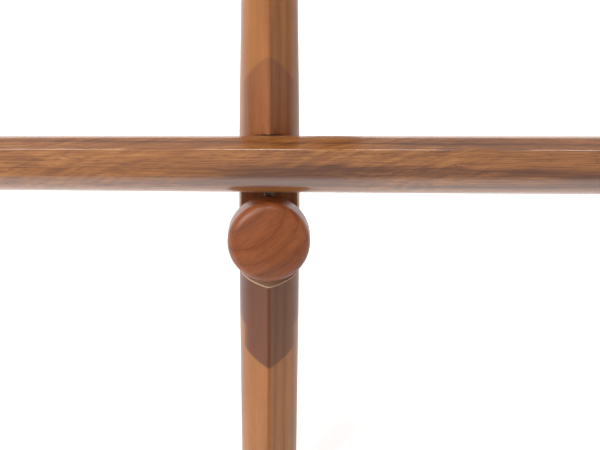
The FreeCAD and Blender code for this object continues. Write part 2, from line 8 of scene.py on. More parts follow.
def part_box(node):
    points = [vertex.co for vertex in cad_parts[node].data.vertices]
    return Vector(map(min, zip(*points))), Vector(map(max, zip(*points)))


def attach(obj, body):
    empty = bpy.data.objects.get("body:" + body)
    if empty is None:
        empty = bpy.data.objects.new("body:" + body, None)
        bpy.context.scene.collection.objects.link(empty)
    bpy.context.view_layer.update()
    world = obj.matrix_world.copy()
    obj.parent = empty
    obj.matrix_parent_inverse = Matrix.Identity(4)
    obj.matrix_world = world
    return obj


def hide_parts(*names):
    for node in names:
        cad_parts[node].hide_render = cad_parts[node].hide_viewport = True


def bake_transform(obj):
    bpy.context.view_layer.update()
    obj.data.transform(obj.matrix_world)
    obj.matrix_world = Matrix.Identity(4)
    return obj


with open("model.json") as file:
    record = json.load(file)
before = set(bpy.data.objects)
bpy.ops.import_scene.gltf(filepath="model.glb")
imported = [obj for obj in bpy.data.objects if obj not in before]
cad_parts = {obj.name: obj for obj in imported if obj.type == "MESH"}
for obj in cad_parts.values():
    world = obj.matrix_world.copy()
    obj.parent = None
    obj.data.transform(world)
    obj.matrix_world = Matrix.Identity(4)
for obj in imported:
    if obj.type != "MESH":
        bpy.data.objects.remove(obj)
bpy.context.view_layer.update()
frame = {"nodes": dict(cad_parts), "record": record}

mm = 0.001
xAxis = Vector((1, 0, 0))
joints = {joint["name"]: joint for joint in frame["record"]["behaviour"]["joints"]}
pivotPoint = Vector(joints["frame_fold"]["pos_m"])
frameNames = ("outer", "inner")
rowNames = ("low", "top")
sideNames = ("left", "right")
legNames = [(frameName, side) for frameName in frameNames for side in sideNames]
clamps = [(frameName, row, side) for frameName in frameNames for row in rowNames for side in sideNames]
print("frame loaded,", len(frame["nodes"]), "nodes")


# places

crossing = {
    "knobToBar": 35.2 * mm,      # knob axis to bar axis, up the leg
    "barOut": 18.95 * mm,        # leg axis to bar axis, out over the ridge
    "seatFloor": 5.5 * mm,       # leg axis to the flat seat
    "seatRadius": 24.5 * mm,
    "grooveGap": 0.35 * mm,      # bar to groove, where they cross
    "eyeOut": 8.6 * mm,          # leg axis to the eye's back
    "knobBackOut": 14.3 * mm,    # leg axis to the knob's back
}


barShape = {
    "half": 325 * mm,
    "middleRadius": 13.4 * mm,
    "endRadius": 12.5 * mm,
    "taperPower": 1.5,
    "halfAngle": math.radians(60),
    "nose": 1.2 * mm,
    "ridgeTurn": math.radians(42),
    "endRound": 8 * mm,
}


def barRadius(x):
    share = min(abs(x) / barShape["half"], 1) ** barShape["taperPower"]
    return barShape["middleRadius"] - (barShape["middleRadius"] - barShape["endRadius"]) * share


def frameAxes(frameName):
    out = Vector(joints[frameName + "_low_knob_left_spin"]["axis"]).normalized()
    up = out.cross(xAxis)
    if up.z < 0:
        up.negate()
    return out.cross(up), out, up


def knobSpot(frameName, row, side):
    return Vector(joints["%s_%s_knob_%s_spin" % (frameName, row, side)]["pos_m"])


def legSpot(frameName, side):
    return Vector((knobSpot(frameName, "low", side).x, pivotPoint.y, pivotPoint.z))


def knobAlong(frameName, row):
    return (knobSpot(frameName, row, "left") - pivotPoint).dot(frameAxes(frameName)[2])


def barLine(frameName, row):
    out, up = frameAxes(frameName)[1:]
    middle = pivotPoint + up * (knobAlong(frameName, row) + crossing["knobToBar"]) + out * crossing["barOut"]
    return Vector((0, middle.y, middle.z))


def placeMatrix(origin, axes):
    turn = Matrix((axes[0], axes[1], axes[2])).transposed()
    return Matrix.Translation(origin) @ turn.to_4x4()


# mesh helpers

def pieceName(node):
    first, *others = node.split("_")
    return first + "".join(word.capitalize() for word in others)


def settle(piece, node, body):
    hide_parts(node)
    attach(piece, body)


def linkObject(name, data):
    item = bpy.data.objects.new(name, data)
    bpy.context.scene.collection.objects.link(item)
    return item


def writeVectors(mesh, name, vectors):
    attribute = mesh.attributes.new(name, "FLOAT_VECTOR", "POINT")
    attribute.data.foreach_set("vector", [value for vector in vectors for value in vector])


def keepMesh(name, points, faces, places, material, sharpAngle=38):
    mesh = bpy.data.meshes.new(name)
    mesh.from_pydata([tuple(point) for point in points], [], faces)
    writeVectors(mesh, "grainPlace", places)
    mesh.update()
    work = bmesh.new()
    work.from_mesh(mesh)
    bmesh.ops.recalc_face_normals(work, faces=work.faces)
    if work.calc_volume(signed=True) < 0:
        bmesh.ops.reverse_faces(work, faces=work.faces)
    work.to_mesh(mesh)
    work.free()
    mesh.shade_smooth()
    mesh.set_sharp_from_angle(angle=math.radians(sharpAngle))
    mesh.materials.append(material)
    return linkObject(name, mesh)


def skinRings(rings, loop=False):
    # a loop joins the last ring to the first; otherwise both ends are closed
    count, last = len(rings[0]), len(rings) - 1
    points = [point for ring in rings for point in ring]
    total = len(points)
    faces = []
    for row in range(last + 1 if loop else last):
        for column in range(count):
            a = row * count + column
            b = row * count + (column + 1) % count
            faces.append((a, b, (b + count) % total, (a + count) % total))
    for first in (() if loop else (0, last * count)):
        points.append(sum((Vector(points[first + i]) for i in range(count)), Vector()) / count)
        faces += [(first + i, first + (i + 1) % count, len(points) - 1) for i in range(count)]
    return points, faces


def turnedPiece(name, origin, axes, profile, material, segments=64, loop=False, grain=None, shift=Vector()):
    # profile rows are (radius, height, sides); sides is 0 for round or the number of flats
    toWorld = placeMatrix(origin, axes)
    rings = []
    for radius, height, sides in profile:
        ring = []
        for step in range(segments):
            angle = 2 * math.pi * step / segments
            reach = radius
            if sides:
                part = 2 * math.pi / sides
                reach = radius * math.cos(part / 2) / math.cos((angle % part) - part / 2)
            ring.append(Vector((reach * math.cos(angle), reach * math.sin(angle), height)))
        rings.append(ring)
    points, faces = skinRings(rings, loop)
    grain = grain or Matrix.Identity(3)
    places = [grain @ Vector(point) + shift for point in points]
    return keepMesh(name, [toWorld @ Vector(point) for point in points], faces, places, material)


def arcRows(radius, height, rounding, start, end, steps):
    angles = [math.radians(start + (end - start) * i / steps) for i in range(steps + 1)]
    return [(radius + rounding * math.cos(a), height + rounding * math.sin(a), 0) for a in angles]


def smoothBetween(stations, at):
    # a smooth curve through (place, value) pairs
    last = len(stations) - 1
    index = 0
    while index < last - 1 and at > stations[index + 1][0]:
        index += 1

    def slope(i):
        if i in (0, last):
            return 0.0
        before = (stations[i][1] - stations[i - 1][1]) / (stations[i][0] - stations[i - 1][0])
        after = (stations[i + 1][1] - stations[i][1]) / (stations[i + 1][0] - stations[i][0])
        return 0.0 if before * after <= 0 else (before + after) / 2

    (x0, y0), (x1, y1) = stations[index], stations[index + 1]
    span = x1 - x0
    t = min(max((at - x0) / span, 0), 1)
    rise = (1 - t) * t * ((1 - t) * slope(index) * span - t * slope(index + 1) * span)
    return y0 + (y1 - y0) * t * t * (3 - 2 * t) + rise


def softLower(a, b, width):
    share = min(max(0.5 + 0.5 * (b - a) / width, 0), 1)
    return b + (a - b) * share - width * share * (1 - share)


def dropTop(x, radius, nose, halfAngle):
    # height of a ridged section above its axis plane at x
    c, s = math.cos(halfAngle), math.sin(halfAngle)
    away = abs(x)
    reach = (radius - nose) / s
    if away <= nose * c:
        return reach + math.sqrt(max(nose * nose - away * away, 0))
    if away < radius * c:
        share = (away - nose * c) / (radius * c - nose * c)
        return (reach + nose * s) * (1 - share) + radius * s * share
    return math.sqrt(max(radius * radius - away * away, 0))


# node helpers

def feed(tree, node, values):
    for name, value in values.items():
        if isinstance(value, bpy.types.NodeSocket):
            tree.links.new(value, node.inputs[name])
        else:
            node.inputs[name].default_value = value


def addNode(tree, kind, values=None, **settings):
    node = tree.nodes.new(kind)
    for name, value in settings.items():
        setattr(node, name, value)
    feed(tree, node, values or {})
    return node


def mathOf(tree, operation, first, second=0.0, third=0.0):
    return addNode(tree, "ShaderNodeMath", {0: first, 1: second, 2: third}, operation=operation).outputs[0]


def plus(tree, first, second):
    return mathOf(tree, "ADD", first, second)


def minus(tree, first, second):
    return mathOf(tree, "SUBTRACT", first, second)


def times(tree, first, second):
    return mathOf(tree, "MULTIPLY", first, second)


def vectorOf(tree, operation, first, second):
    return addNode(tree, "ShaderNodeVectorMath", {0: first, 1: second}, operation=operation).outputs[0]


def joinXyz(tree, x=0.0, y=0.0, z=0.0):
    return addNode(tree, "ShaderNodeCombineXYZ", {"X": x, "Y": y, "Z": z}).outputs[0]


def splitXyz(tree, vector):
    return addNode(tree, "ShaderNodeSeparateXYZ", {0: vector}).outputs


def mixColour(tree, share, first, second, blend="MIX"):
    values = {0: share, 6: first, 7: second}
    return addNode(tree, "ShaderNodeMix", values, data_type="RGBA", blend_type=blend).outputs[2]


def remap(tree, value, low, high, newLow=0.0, newHigh=1.0, smooth=False):
    kind = "SMOOTHSTEP" if smooth else "LINEAR"
    values = {"Value": value, "From Min": low, "From Max": high, "To Min": newLow, "To Max": newHigh}
    return addNode(tree, "ShaderNodeMapRange", values, interpolation_type=kind).outputs[0]


def noiseOf(tree, vector, scale, detail=3.0, roughness=0.55):
    values = {"Vector": vector, "Scale": scale, "Detail": detail, "Roughness": roughness}
    return addNode(tree, "ShaderNodeTexNoise", values).outputs[0]


def ownPlace(tree, attribute="grainPlace"):
    return addNode(tree, "ShaderNodeAttribute", attribute_name=attribute).outputs["Vector"]


def objectPlace(tree):
    return addNode(tree, "ShaderNodeTexCoord").outputs["Object"]


def newGroup(name, inputs, outputs):
    group = bpy.data.node_groups.new(name, "ShaderNodeTree")
    for label, kind, start in inputs:
        socket = group.interface.new_socket(name=label, in_out="INPUT", socket_type="NodeSocket" + kind)
        if start is not None:
            socket.default_value = start
    for label, kind in outputs:
        group.interface.new_socket(name=label, in_out="OUTPUT", socket_type="NodeSocket" + kind)
    return group, addNode(group, "NodeGroupInput").outputs, addNode(group, "NodeGroupOutput").inputs


def useGroup(tree, group, values):
    return addNode(tree, "ShaderNodeGroup", values, node_tree=group).outputs


def startMaterial(name):
    material = bpy.data.materials.new(name)
    material.use_nodes = True
    return material, material.node_tree, material.node_tree.nodes["Principled BSDF"]


def addBump(tree, shader, height, strength, distance):
    bump = addNode(tree, "ShaderNodeBump", {"Height": height, "Strength": strength, "Distance": distance})
    tree.links.new(bump.outputs[0], shader.inputs["Normal"])


# wood: growth bands, fine fibres and open pores, all run along the piece's own length

def woodGroup():
    group, given, made = newGroup(
        "woodGrain",
        [("Place", "Vector", None), ("Bands", "Float", 60.0), ("Stretch", "Float", 0.10),
         ("Figure", "Float", 0.4), ("Fibre", "Float", 0.3), ("Pores", "Float", 0.5),
         ("Lines", "Float", 0.3), ("Feather", "Float", 0.0),
         ("Light", "Color", None), ("Middle", "Color", None), ("Dark", "Color", None)],
        [("Color", "Color"), ("Roughness", "Float"), ("Height", "Float")])

    def drawnOut(scale, share, detail, roughness=0.5):
        long = vectorOf(group, "MULTIPLY", given["Place"], (1.0, 1.0, share))
        return noiseOf(group, long, scale, detail, roughness)

    long = vectorOf(group, "MULTIPLY", given["Place"], joinXyz(group, 1.0, 1.0, given["Stretch"]))
    drift = addNode(group, "ShaderNodeTexNoise", {"Vector": long, "Scale": 38.0, "Detail": 2.0}).outputs[1]
    drifted = vectorOf(group, "ADD", long, vectorOf(group, "MULTIPLY", drift, (0.022, 0.022, 0.0)))
    bands = addNode(group, "ShaderNodeTexWave",
                    {"Vector": drifted, "Scale": given["Bands"], "Distortion": 2.4, "Detail": 2.0,
                     "Detail Scale": 1.6}, wave_type="RINGS", rings_direction="Z").outputs[1]
    fibres = drawnOut(1700.0, 0.03, 3.0, 0.65)
    ribbons = drawnOut(150.0, 0.06, 3.0)
    clouds = drawnOut(45.0, 0.35, 2.0)
    poreNoise = drawnOut(1350.0, 0.17, 1.5)
    patches = remap(group, clouds, 0.38, 0.62, 0.25, 1.0)
    pores = times(group, remap(group, poreNoise, 0.57, 0.68), given["Pores"])
    pores = times(group, pores, patches)
    tone = mathOf(group, "MULTIPLY_ADD", minus(group, bands, 0.5), given["Figure"], 0.5)
    tone = plus(group, tone, remap(group, ribbons, 0.3, 0.7, -0.16, 0.16))
    tone = plus(group, tone, remap(group, clouds, 0.3, 0.7, -0.12, 0.12))
    spread = times(group, remap(group, fibres, 0.3, 0.7, -1.0, 1.0), given["Fibre"])
    tone = plus(group, tone, spread)
    slant = addNode(group, "ShaderNodeVectorRotate", {"Vector": given["Place"], "Angle": math.radians(17)},
                    rotation_type="Y_AXIS").outputs[0]
    feather = noiseOf(group, vectorOf(group, "MULTIPLY", slant, (1.0, 0.4, 0.06)), 620.0, 2.0, 0.5)
    swirls = drawnOut(22.0, 0.4, 1.0, 0.55)
    feather = times(group, remap(group, feather, 0.3, 0.7, -0.5, 0.5), remap(group, swirls, 0.42, 0.6))
    tone = plus(group, tone, times(group, feather, given["Feather"]))
    thin = times(group, remap(group, bands, 0.06, 0.0), given["Lines"])
    tone = minus(group, tone, thin)
    low = mixColour(group, remap(group, tone, 0.0, 0.5), given["Dark"], given["Middle"])
    wood = mixColour(group, remap(group, tone, 0.5, 1.05), low, given["Light"])
    poreTint = mixColour(group, times(group, pores, 0.6), wood, (0.085, 0.028, 0.010, 1))
    group.links.new(poreTint, made["Color"])
    group.links.new(remap(group, fibres, 0.3, 0.7, 0.36, 0.48), made["Roughness"])
    height = minus(group, times(group, fibres, 0.35), pores)
    group.links.new(height, made["Height"])
    return group


# painted shade: the legs are darker and redder round each crossing, up to a blunt point on the ridge, where the
# bar and knob shade them

paintedShadeShape = {
    "aboveBar": 49.2 * mm,       # bar axis to the upper tip
    "belowBar": 99.8 * mm,       # bar axis to the lower tip
    "upperFall": 9.3 * mm,       # how far the upper edge falls back at the shoulder
    "lowerFall": 5.5 * mm,
    "shoulder": 9.2 * mm,        # ridge to shoulder, across the leg
    "side": 11.2 * mm,
    "softness": 0.9 * mm,
    "deepShadeFrom": -52 * mm,        # the seat's side of the bar, where the darker lower half of the painted shade begins
    "tint": (0.78, 0.71, 0.86, 1),
    "deepShadeTints": ((0.50, 0.42, 0.33, 1), (0.40, 0.27, 0.24, 1)),     # painted shade on the two flats, the one the key light falls on made darker
    "seatRim": 24.7 * mm,        # knob axis to the seat's rim, where a paler line is painted as a highlight
    "rimWidth": 0.42 * mm,
    "rimHighlightColour": (0.66, 0.44, 0.29, 1),
}


def shadeGroup():
    group, given, made = newGroup("paintedCrossingShade", [("Place", "Vector", None)],
                                  [("Mask", "Float"), ("Tint", "Color"), ("Rim", "Float")])
    split = splitXyz(group, given["Place"])
    away = mathOf(group, "ABSOLUTE", split[0])
    share = mathOf(group, "POWER", mathOf(group, "DIVIDE", away, paintedShadeShape["shoulder"]), 1.5)
    soft = paintedShadeShape["softness"]
    upperEdge = mathOf(group, "MULTIPLY_ADD", share, -paintedShadeShape["upperFall"], paintedShadeShape["aboveBar"])
    lowerEdge = mathOf(group, "MULTIPLY_ADD", share, -paintedShadeShape["lowerFall"], paintedShadeShape["belowBar"])
    upper = remap(group, minus(group, upperEdge, split[2]), -soft, soft, smooth=True)
    lower = remap(group, plus(group, lowerEdge, split[2]), -soft, soft, smooth=True)
    wider = times(group, remap(group, split[2], -82 * mm, -66 * mm, 0.0, 8 * mm),
                   remap(group, split[2], -36 * mm, -46 * mm))     # under the knob the painted shade reaches the leg's edges
    reach = minus(group, plus(group, wider, paintedShadeShape["side"]), away)
    side = remap(group, reach, -1.6 * soft, 1.6 * soft, smooth=True)
    both = times(group, upper, lower)
    below = plus(group, split[2], crossing["knobToBar"])
    plan = joinXyz(group, split[0], below)
    fromKnob = addNode(group, "ShaderNodeVectorMath", {0: plan}, operation="LENGTH").outputs["Value"]
    seat = remap(group, fromKnob, paintedShadeShape["seatRim"] - 0.6 * mm, paintedShadeShape["seatRim"] - 0.1 * mm)
    seat = mathOf(group, "MAXIMUM", seat, remap(group, below, -0.1 * mm, 0.1 * mm))
    mask = times(group, times(group, both, side), seat)
    group.links.new(mask, made["Mask"])
    # the painted shade is deeper on the seat's side, under the knob
    deep = remap(group, split[2], paintedShadeShape["deepShadeFrom"], paintedShadeShape["deepShadeFrom"] - 8 * mm, smooth=True)
    # the two flats get different painted shade, as the light falls on them differently
    flank = remap(group, split[0], -1.2 * mm, 1.2 * mm, smooth=True)
    deepShadeTint = mixColour(group, flank, *paintedShadeShape["deepShadeTints"])
    tint = mixColour(group, deep, paintedShadeShape["tint"], deepShadeTint)
    line = times(group, mask, minus(group, 1.0, mask))     # the painted shade is darker where it ends
    darker = mixColour(group, 1.0, tint, (0.8, 0.8, 0.8, 1), "MULTIPLY")
    tint = mixColour(group, remap(group, line, 0.05, 0.25), tint, darker)
    group.links.new(tint, made["Tint"])
    # painted highlight: a thin paler line round the seat's rim
    offRim = mathOf(group, "ABSOLUTE", minus(group, fromKnob, paintedShadeShape["seatRim"]))
    rim = remap(group, offRim, paintedShadeShape["rimWidth"], 0.1 * mm)
    rim = times(group, rim, remap(group, below, -2 * mm, -6 * mm))
    group.links.new(times(group, rim, remap(group, split[1], 5.6 * mm, 6.2 * mm)), made["Rim"])
    return group


woodGrain = woodGroup()
paintedCrossingShade = shadeGroup()


def woodMaterial(name, look, shaded=False, gloss=0.4, coat=0.2, density=1.5, sheen=0.08):
    material, tree, shader = startMaterial(name)
    grain = useGroup(tree, woodGrain, {"Place": ownPlace(tree), **look})
    colour = grain["Color"]
    if shaded:
        # painted shade round each crossing, and a painted highlight line on each seat's rim
        shade = useGroup(tree, paintedCrossingShade, {"Place": ownPlace(tree, "jointPlace")})
        colour = mixColour(tree, shade["Mask"], colour, mixColour(tree, 1.0, colour, shade["Tint"], "MULTIPLY"))
        colour = mixColour(tree, shade["Rim"], colour, paintedShadeShape["rimHighlightColour"])
    feed(tree, shader, {
        "Base Color": colour, "Roughness": grain["Roughness"], "Specular IOR Level": gloss,
        "Coat Weight": coat, "Coat Roughness": 0.16, "Coat IOR": density,
        "Sheen Weight": sheen, "Sheen Roughness": 0.3})
    addBump(tree, shader, grain["Height"], 0.35, 0.12 * mm)
    return material


# metals: fine turning marks and soft wear

def markGroup():
    group, given, made = newGroup(
        "turningMarks", [("Place", "Vector", None), ("Scale", "Float", 2600.0), ("Base", "Float", 0.2)],
        [("Roughness", "Float"), ("Height", "Float"), ("Tone", "Float")])
    lines = noiseOf(group, vectorOf(group, "MULTIPLY", given["Place"], (0.12, 0.12, 1.0)), given["Scale"], 2.0)
    blotches = noiseOf(group, given["Place"], 260.0, 3.0)
    rough = plus(group, given["Base"], remap(group, blotches, 0.35, 0.7, -0.04, 0.10))
    group.links.new(rough, made["Roughness"])
    group.links.new(lines, made["Height"])
    group.links.new(remap(group, blotches, 0.3, 0.75, 1.0, 0.82), made["Tone"])
    return group


turningMarks = markGroup()


def metalMaterial(name, colour, base, turned=True):
    material, tree, shader = startMaterial(name)
    place = ownPlace(tree) if turned else objectPlace(tree)
    marks = useGroup(tree, turningMarks, {"Place": place, "Base": base})
    tone = mixColour(tree, 1.0, colour, marks["Tone"], "MULTIPLY")
    feed(tree, shader, {"Base Color": tone, "Roughness": marks["Roughness"], "Metallic": 1.0})
    addBump(tree, shader, marks["Height"], 0.08, 0.04 * mm)
    return material


# leather, thread, rubber and nylon

def leatherMaterial(name):
    material, tree, shader = startMaterial(name)
    place = ownPlace(tree)
    split = splitXyz(tree, place)
    cells = addNode(tree, "ShaderNodeTexVoronoi", {"Vector": place, "Scale": 900.0, "Randomness": 1.0},
                    feature="DISTANCE_TO_EDGE").outputs[0]
    creases = remap(tree, cells, 0.0, 0.12, 0.0, 1.0, smooth=True)
    folds = noiseOf(tree, vectorOf(tree, "MULTIPLY", place, (1.0, 1.0, 2.6)), 150.0, 4.0, 0.6)
    clouds = noiseOf(tree, place, 28.0, 3.0)
    base = mixColour(tree, remap(tree, clouds, 0.3, 0.7), (0.235, 0.088, 0.036, 1), (0.36, 0.150, 0.062, 1))
    base = mixColour(tree, remap(tree, folds, 0.45, 0.75, 0.0, 0.35), base, (0.15, 0.055, 0.024, 1))
    base = mixColour(tree, remap(tree, creases, 0.0, 1.0, 0.35, 0.0), base, (0.12, 0.042, 0.018, 1))
    rim = remap(tree, mathOf(tree, "ABSOLUTE", split[0]), 21.5 * mm, 22.3 * mm, smooth=True)
    flesh = remap(tree, split[1], -1.0 * mm, -1.28 * mm)     # the paler underside
    base = mixColour(tree, times(tree, flesh, 0.65), base, (0.42, 0.235, 0.120, 1))
    base = mixColour(tree, rim, base, (0.070, 0.028, 0.014, 1))
    rough = plus(tree, remap(tree, creases, 0.0, 1.0, 0.62, 0.42), times(tree, flesh, 0.3))
    feed(tree, shader, {"Base Color": base, "Roughness": rough})
    addBump(tree, shader, plus(tree, creases, times(tree, folds, 0.8)), 0.40, 0.15 * mm)
    return material


def threadMaterial(name):
    material, tree, shader = startMaterial(name)
    place = objectPlace(tree)
    twist = addNode(tree, "ShaderNodeTexWave", {"Vector": place, "Scale": 420.0, "Distortion": 0.6},
                    bands_direction="DIAGONAL").outputs[1]
    tone = mixColour(tree, twist, (0.46, 0.34, 0.21, 1), (0.68, 0.54, 0.37, 1))
    feed(tree, shader, {"Base Color": tone, "Roughness": 0.7})
    addBump(tree, shader, twist, 0.4, 0.1 * mm)
    return material


def dullMaterial(name, dark, light, rough, scale, strength):
    material, tree, shader = startMaterial(name)
    place = objectPlace(tree)
    grains = noiseOf(tree, place, scale, 4.0, 0.65)
    dust = noiseOf(tree, place, scale * 0.05, 3.0)
    tone = mixColour(tree, remap(tree, dust, 0.35, 0.75), dark, light)
    spread = remap(tree, grains, 0.3, 0.7, rough - 0.08, rough + 0.08)
    feed(tree, shader, {"Base Color": tone, "Roughness": spread})
    addBump(tree, shader, grains, strength, 0.1 * mm)
    return material


legWood = woodMaterial("legWood", {
    "Bands": 46.0, "Stretch": 0.05, "Figure": 0.20, "Fibre": 0.14, "Pores": 0.35, "Lines": 0.10,
    "Light": (0.43, 0.170, 0.042, 1), "Middle": (0.315, 0.112, 0.024, 1), "Dark": (0.17, 0.052, 0.012, 1)},
    shaded=True)
barWood = woodMaterial("barWood", {
    "Bands": 36.0, "Stretch": 0.03, "Figure": 0.20, "Fibre": 0.34, "Pores": 1.0, "Lines": 0.32, "Feather": 0.45,
    "Light": (0.44, 0.180, 0.044, 1), "Middle": (0.265, 0.090, 0.017, 1), "Dark": (0.110, 0.031, 0.007, 1)},
    coat=0.85, density=1.8)
knobWood = woodMaterial("knobWood", {
    "Bands": 64.0, "Stretch": 0.10, "Figure": 0.18, "Fibre": 0.14, "Pores": 0.5, "Lines": 0.15,
    "Light": (0.325, 0.100, 0.028, 1), "Middle": (0.225, 0.058, 0.013, 1), "Dark": (0.110, 0.026, 0.006, 1)},
    gloss=0.36, coat=0.12, sheen=0.0)
steel = metalMaterial("steel", (0.60, 0.59, 0.58, 1), 0.16)
dullSteel = metalMaterial("dullSteel", (0.045, 0.036, 0.031, 1), 0.18)
steelCad = metalMaterial("steelCad", (0.60, 0.59, 0.58, 1), 0.20, turned=False)
brassCad = metalMaterial("brassCad", (0.76, 0.56, 0.26, 1), 0.24, turned=False)
copper = metalMaterial("copper", (0.78, 0.42, 0.26, 1), 0.22, turned=False)
strapLeather = leatherMaterial("strapLeather")
waxedThread = threadMaterial("waxedThread")
footRubber = dullMaterial("footRubber", (0.030, 0.027, 0.025, 1), (0.060, 0.054, 0.049, 1), 0.72, 2400.0, 0.5)
spacerNylon = dullMaterial("spacerNylon", (0.035, 0.030, 0.027, 1), (0.060, 0.052, 0.046, 1), 0.42, 900.0, 0.2)
print("materials made")


# legs

legShape = {
    "radii": [(-330 * mm, 12.6 * mm), (-140.95 * mm, 14.1 * mm), (0.0, 12.65 * mm),
              (221.05 * mm, 14.1 * mm), (300 * mm, 12.2 * mm)],
    "top": 300 * mm,
    "endRound": 7 * mm,
    "halfAngle": math.radians(52),
    "nose": 1.5 * mm,
    "edgeRound": 0.45 * mm,
    "seatFillet": 0.35 * mm,
    "cutBlend": 0.5 * mm,        # width over which a cut runs out into the round
    "bulge": (6 * mm, 12 * mm),  # sections stay curved this far from a seat's edge, then straighten over this
    "ridgeShares": (0.012, 0.026, 0.040, 0.054, 0.068, 0.080, 0.14, 0.625),     # closer columns
    "padTop": 3 * mm,            # height of the level foot above the floor
    "footStart": -262 * mm,
    "footEnd": -310 * mm,
    "footInset": 0.6 * mm,
    "step": 7 * mm,              # spacing of the sections along the leg
    "fineStep": 0.7 * mm,
    "pivotStep": 1.3 * mm,
    "besideSeat": [4, 3, 2, 1.2, 0.7, 0.45, 0.38, 0.30, 0.20, 0.10, 0.04, 0.001],
    "insideSeat": [0.001, 0.05, 0.12, 0.25, 0.5],
    "spotRadius": 9.5 * mm,
    "spotOut": 12 * mm,
}


def legColumns():
    shares = {round(math.sin(math.radians(-90 + 180 * i / 60)), 6) for i in range(61)}
    for extra in legShape["ridgeShares"]:
        shares |= {extra, -extra}
    return sorted(shares)


def legStations(knobs, groove):
    stations = [legShape["footStart"] + legShape["step"] * i for i in range(80)]
    stations = [s for s in stations if s < legShape["top"] - legShape["endRound"] - 2 * mm]
    fineRows = []
    for knob in knobs:
        edge = knob - crossing["seatRadius"]
        finish = knob + crossing["knobToBar"] + groove + 0.6 * mm
        stations = [s for s in stations if s < edge - 5 * mm or s > finish + 1 * mm]
        fineRows += [edge - d * mm for d in legShape["besideSeat"]]
        fineRows += [edge + d * mm for d in legShape["insideSeat"]]
        steps = int((finish - edge - 1 * mm) / legShape["fineStep"])
        fineRows += [edge + 1 * mm + i * legShape["fineStep"] for i in range(steps + 1)]
    stations = [s for s in stations if abs(s) > 11 * mm] + [i * legShape["pivotStep"] for i in range(-8, 9)]
    return sorted(set(stations + fineRows))


def legPoint(x, station, knobs, groove, radius):
    # the ridged side's height at x, cut by the seats and grooves
    top = dropTop(x, radius, legShape["nose"], legShape["halfAngle"])
    floor, blend = crossing["seatFloor"], legShape["cutBlend"]
    curved, fade = legShape["bulge"]
    along = station
    for knob in knobs:
        edge = knob - crossing["seatRadius"]
        bulge = crossing["seatRadius"] - math.sqrt(crossing["seatRadius"] ** 2 - x * x)
        near = 1 - min(max((abs(station - edge) - curved) / fade, 0), 1)
        along += bulge * near * near * (3 - 2 * near)
        bar = knob + crossing["knobToBar"]
        depth = station - edge
        wall = max(top - floor, 0)
        rounding = min(legShape["edgeRound"], 0.45 * wall)
        if -rounding < depth < 0 and rounding > 0:
            top -= rounding * (1 - math.sqrt(max(1 - ((depth + rounding) / rounding) ** 2, 0)))
        elif 0 <= depth and station <= bar:
            fillet = max(legShape["seatFillet"] - depth, 0) if wall > 0 else 0
            top = softLower(top, floor, blend) + min(fillet, wall)
        elif bar < station < bar + groove:
            drop = crossing["barOut"] - math.sqrt(groove ** 2 - (station - bar) ** 2)
            top = softLower(top, drop, blend)
    return top, along


def buildLeg(frameName, side, seedShift):
    across, out, up = frameAxes(frameName)
    origin = legSpot(frameName, side)
    toWorld = placeMatrix(origin, (across, out, up))
    knobs = [knobAlong(frameName, row) for row in rowNames]
    bars = [knob + crossing["knobToBar"] for knob in knobs]
    groove = barRadius(origin.x) + crossing["grooveGap"]
    shares = legColumns()
    underAngles = [math.pi * i / 40 for i in range(1, 40)]
    foot = [(share, "foot") for share in (1.0, 0.985, 0.93, 0.8, 0.6, 0.4, 0.2)]
    shoulder = legShape["top"] - legShape["endRound"]
    rows = foot + [(s, "body") for s in legStations(knobs, groove)]
    rows += [(shoulder + legShape["endRound"] * math.sin(math.pi / 2 * i / 9), "end") for i in range(10)]
    tipReach = dropTop(0, legShape["radii"][-1][1], legShape["nose"], legShape["halfAngle"])
    rings, jointPlaces = [], []
    for value, kind in rows:
        station = legShape["footStart"] if kind == "foot" else value
        radius = smoothBetween(legShape["radii"], station)
        if kind == "foot":
            at = legShape["footStart"] * (1 - value) + legShape["footEnd"] * value
            radius = smoothBetween(legShape["radii"], at)
        ring = []
        for share in shares:
            x = share * radius
            top, along = legPoint(x, station, knobs, groove, radius)
            ring.append(Vector((x, top, along)))
        for angle in underAngles:
            ring.append(Vector((radius * math.cos(angle), -radius * math.sin(angle), station)))
        for point in ring:
            if kind == "foot":
                inset = legShape["footInset"] if value == 1.0 else 0.0
                point.x *= 1 - inset / radius
                point.y *= 1 - inset / radius
                level = (legShape["padTop"] - pivotPoint.z - point.y * out.z) / up.z
                point.z = legShape["footStart"] + value * (level - legShape["footStart"])
            if kind == "end":
                corner = tipReach - legShape["endRound"]
                rise = (value - shoulder) / legShape["endRound"]
                limit = corner + legShape["endRound"] * math.sqrt(max(1 - rise * rise, 0))
                reach = math.hypot(point.x, point.y)
                if reach > limit:
                    point.x *= limit / reach
                    point.y *= limit / reach
            if math.hypot(point.y, point.z) < legShape["spotRadius"]:
                point.x = max(-legShape["spotOut"], min(legShape["spotOut"], point.x))
        rings.append(ring)
    points, faces = skinRings(rings)
    for point in points:
        bar = min(bars, key=lambda b: abs(point.z - b + 25 * mm))
        jointPlaces.append((point.x, point.y, point.z - bar))
    places = [Vector(point) + seedShift for point in points]
    node = "%s_leg_%s" % (frameName, side)
    piece = keepMesh(pieceName(node), [toWorld @ Vector(point) for point in points], faces, places, legWood, 40)
    writeVectors(piece.data, "jointPlace", jointPlaces)
    settle(piece, node, frameName + "_frame")


for number, (frameName, side) in enumerate(legNames):
    buildLeg(frameName, side, Vector((0.045 + 0.013 * number, 0.02 - 0.017 * number, 0.31 * number)))
print("legs made")


# bars

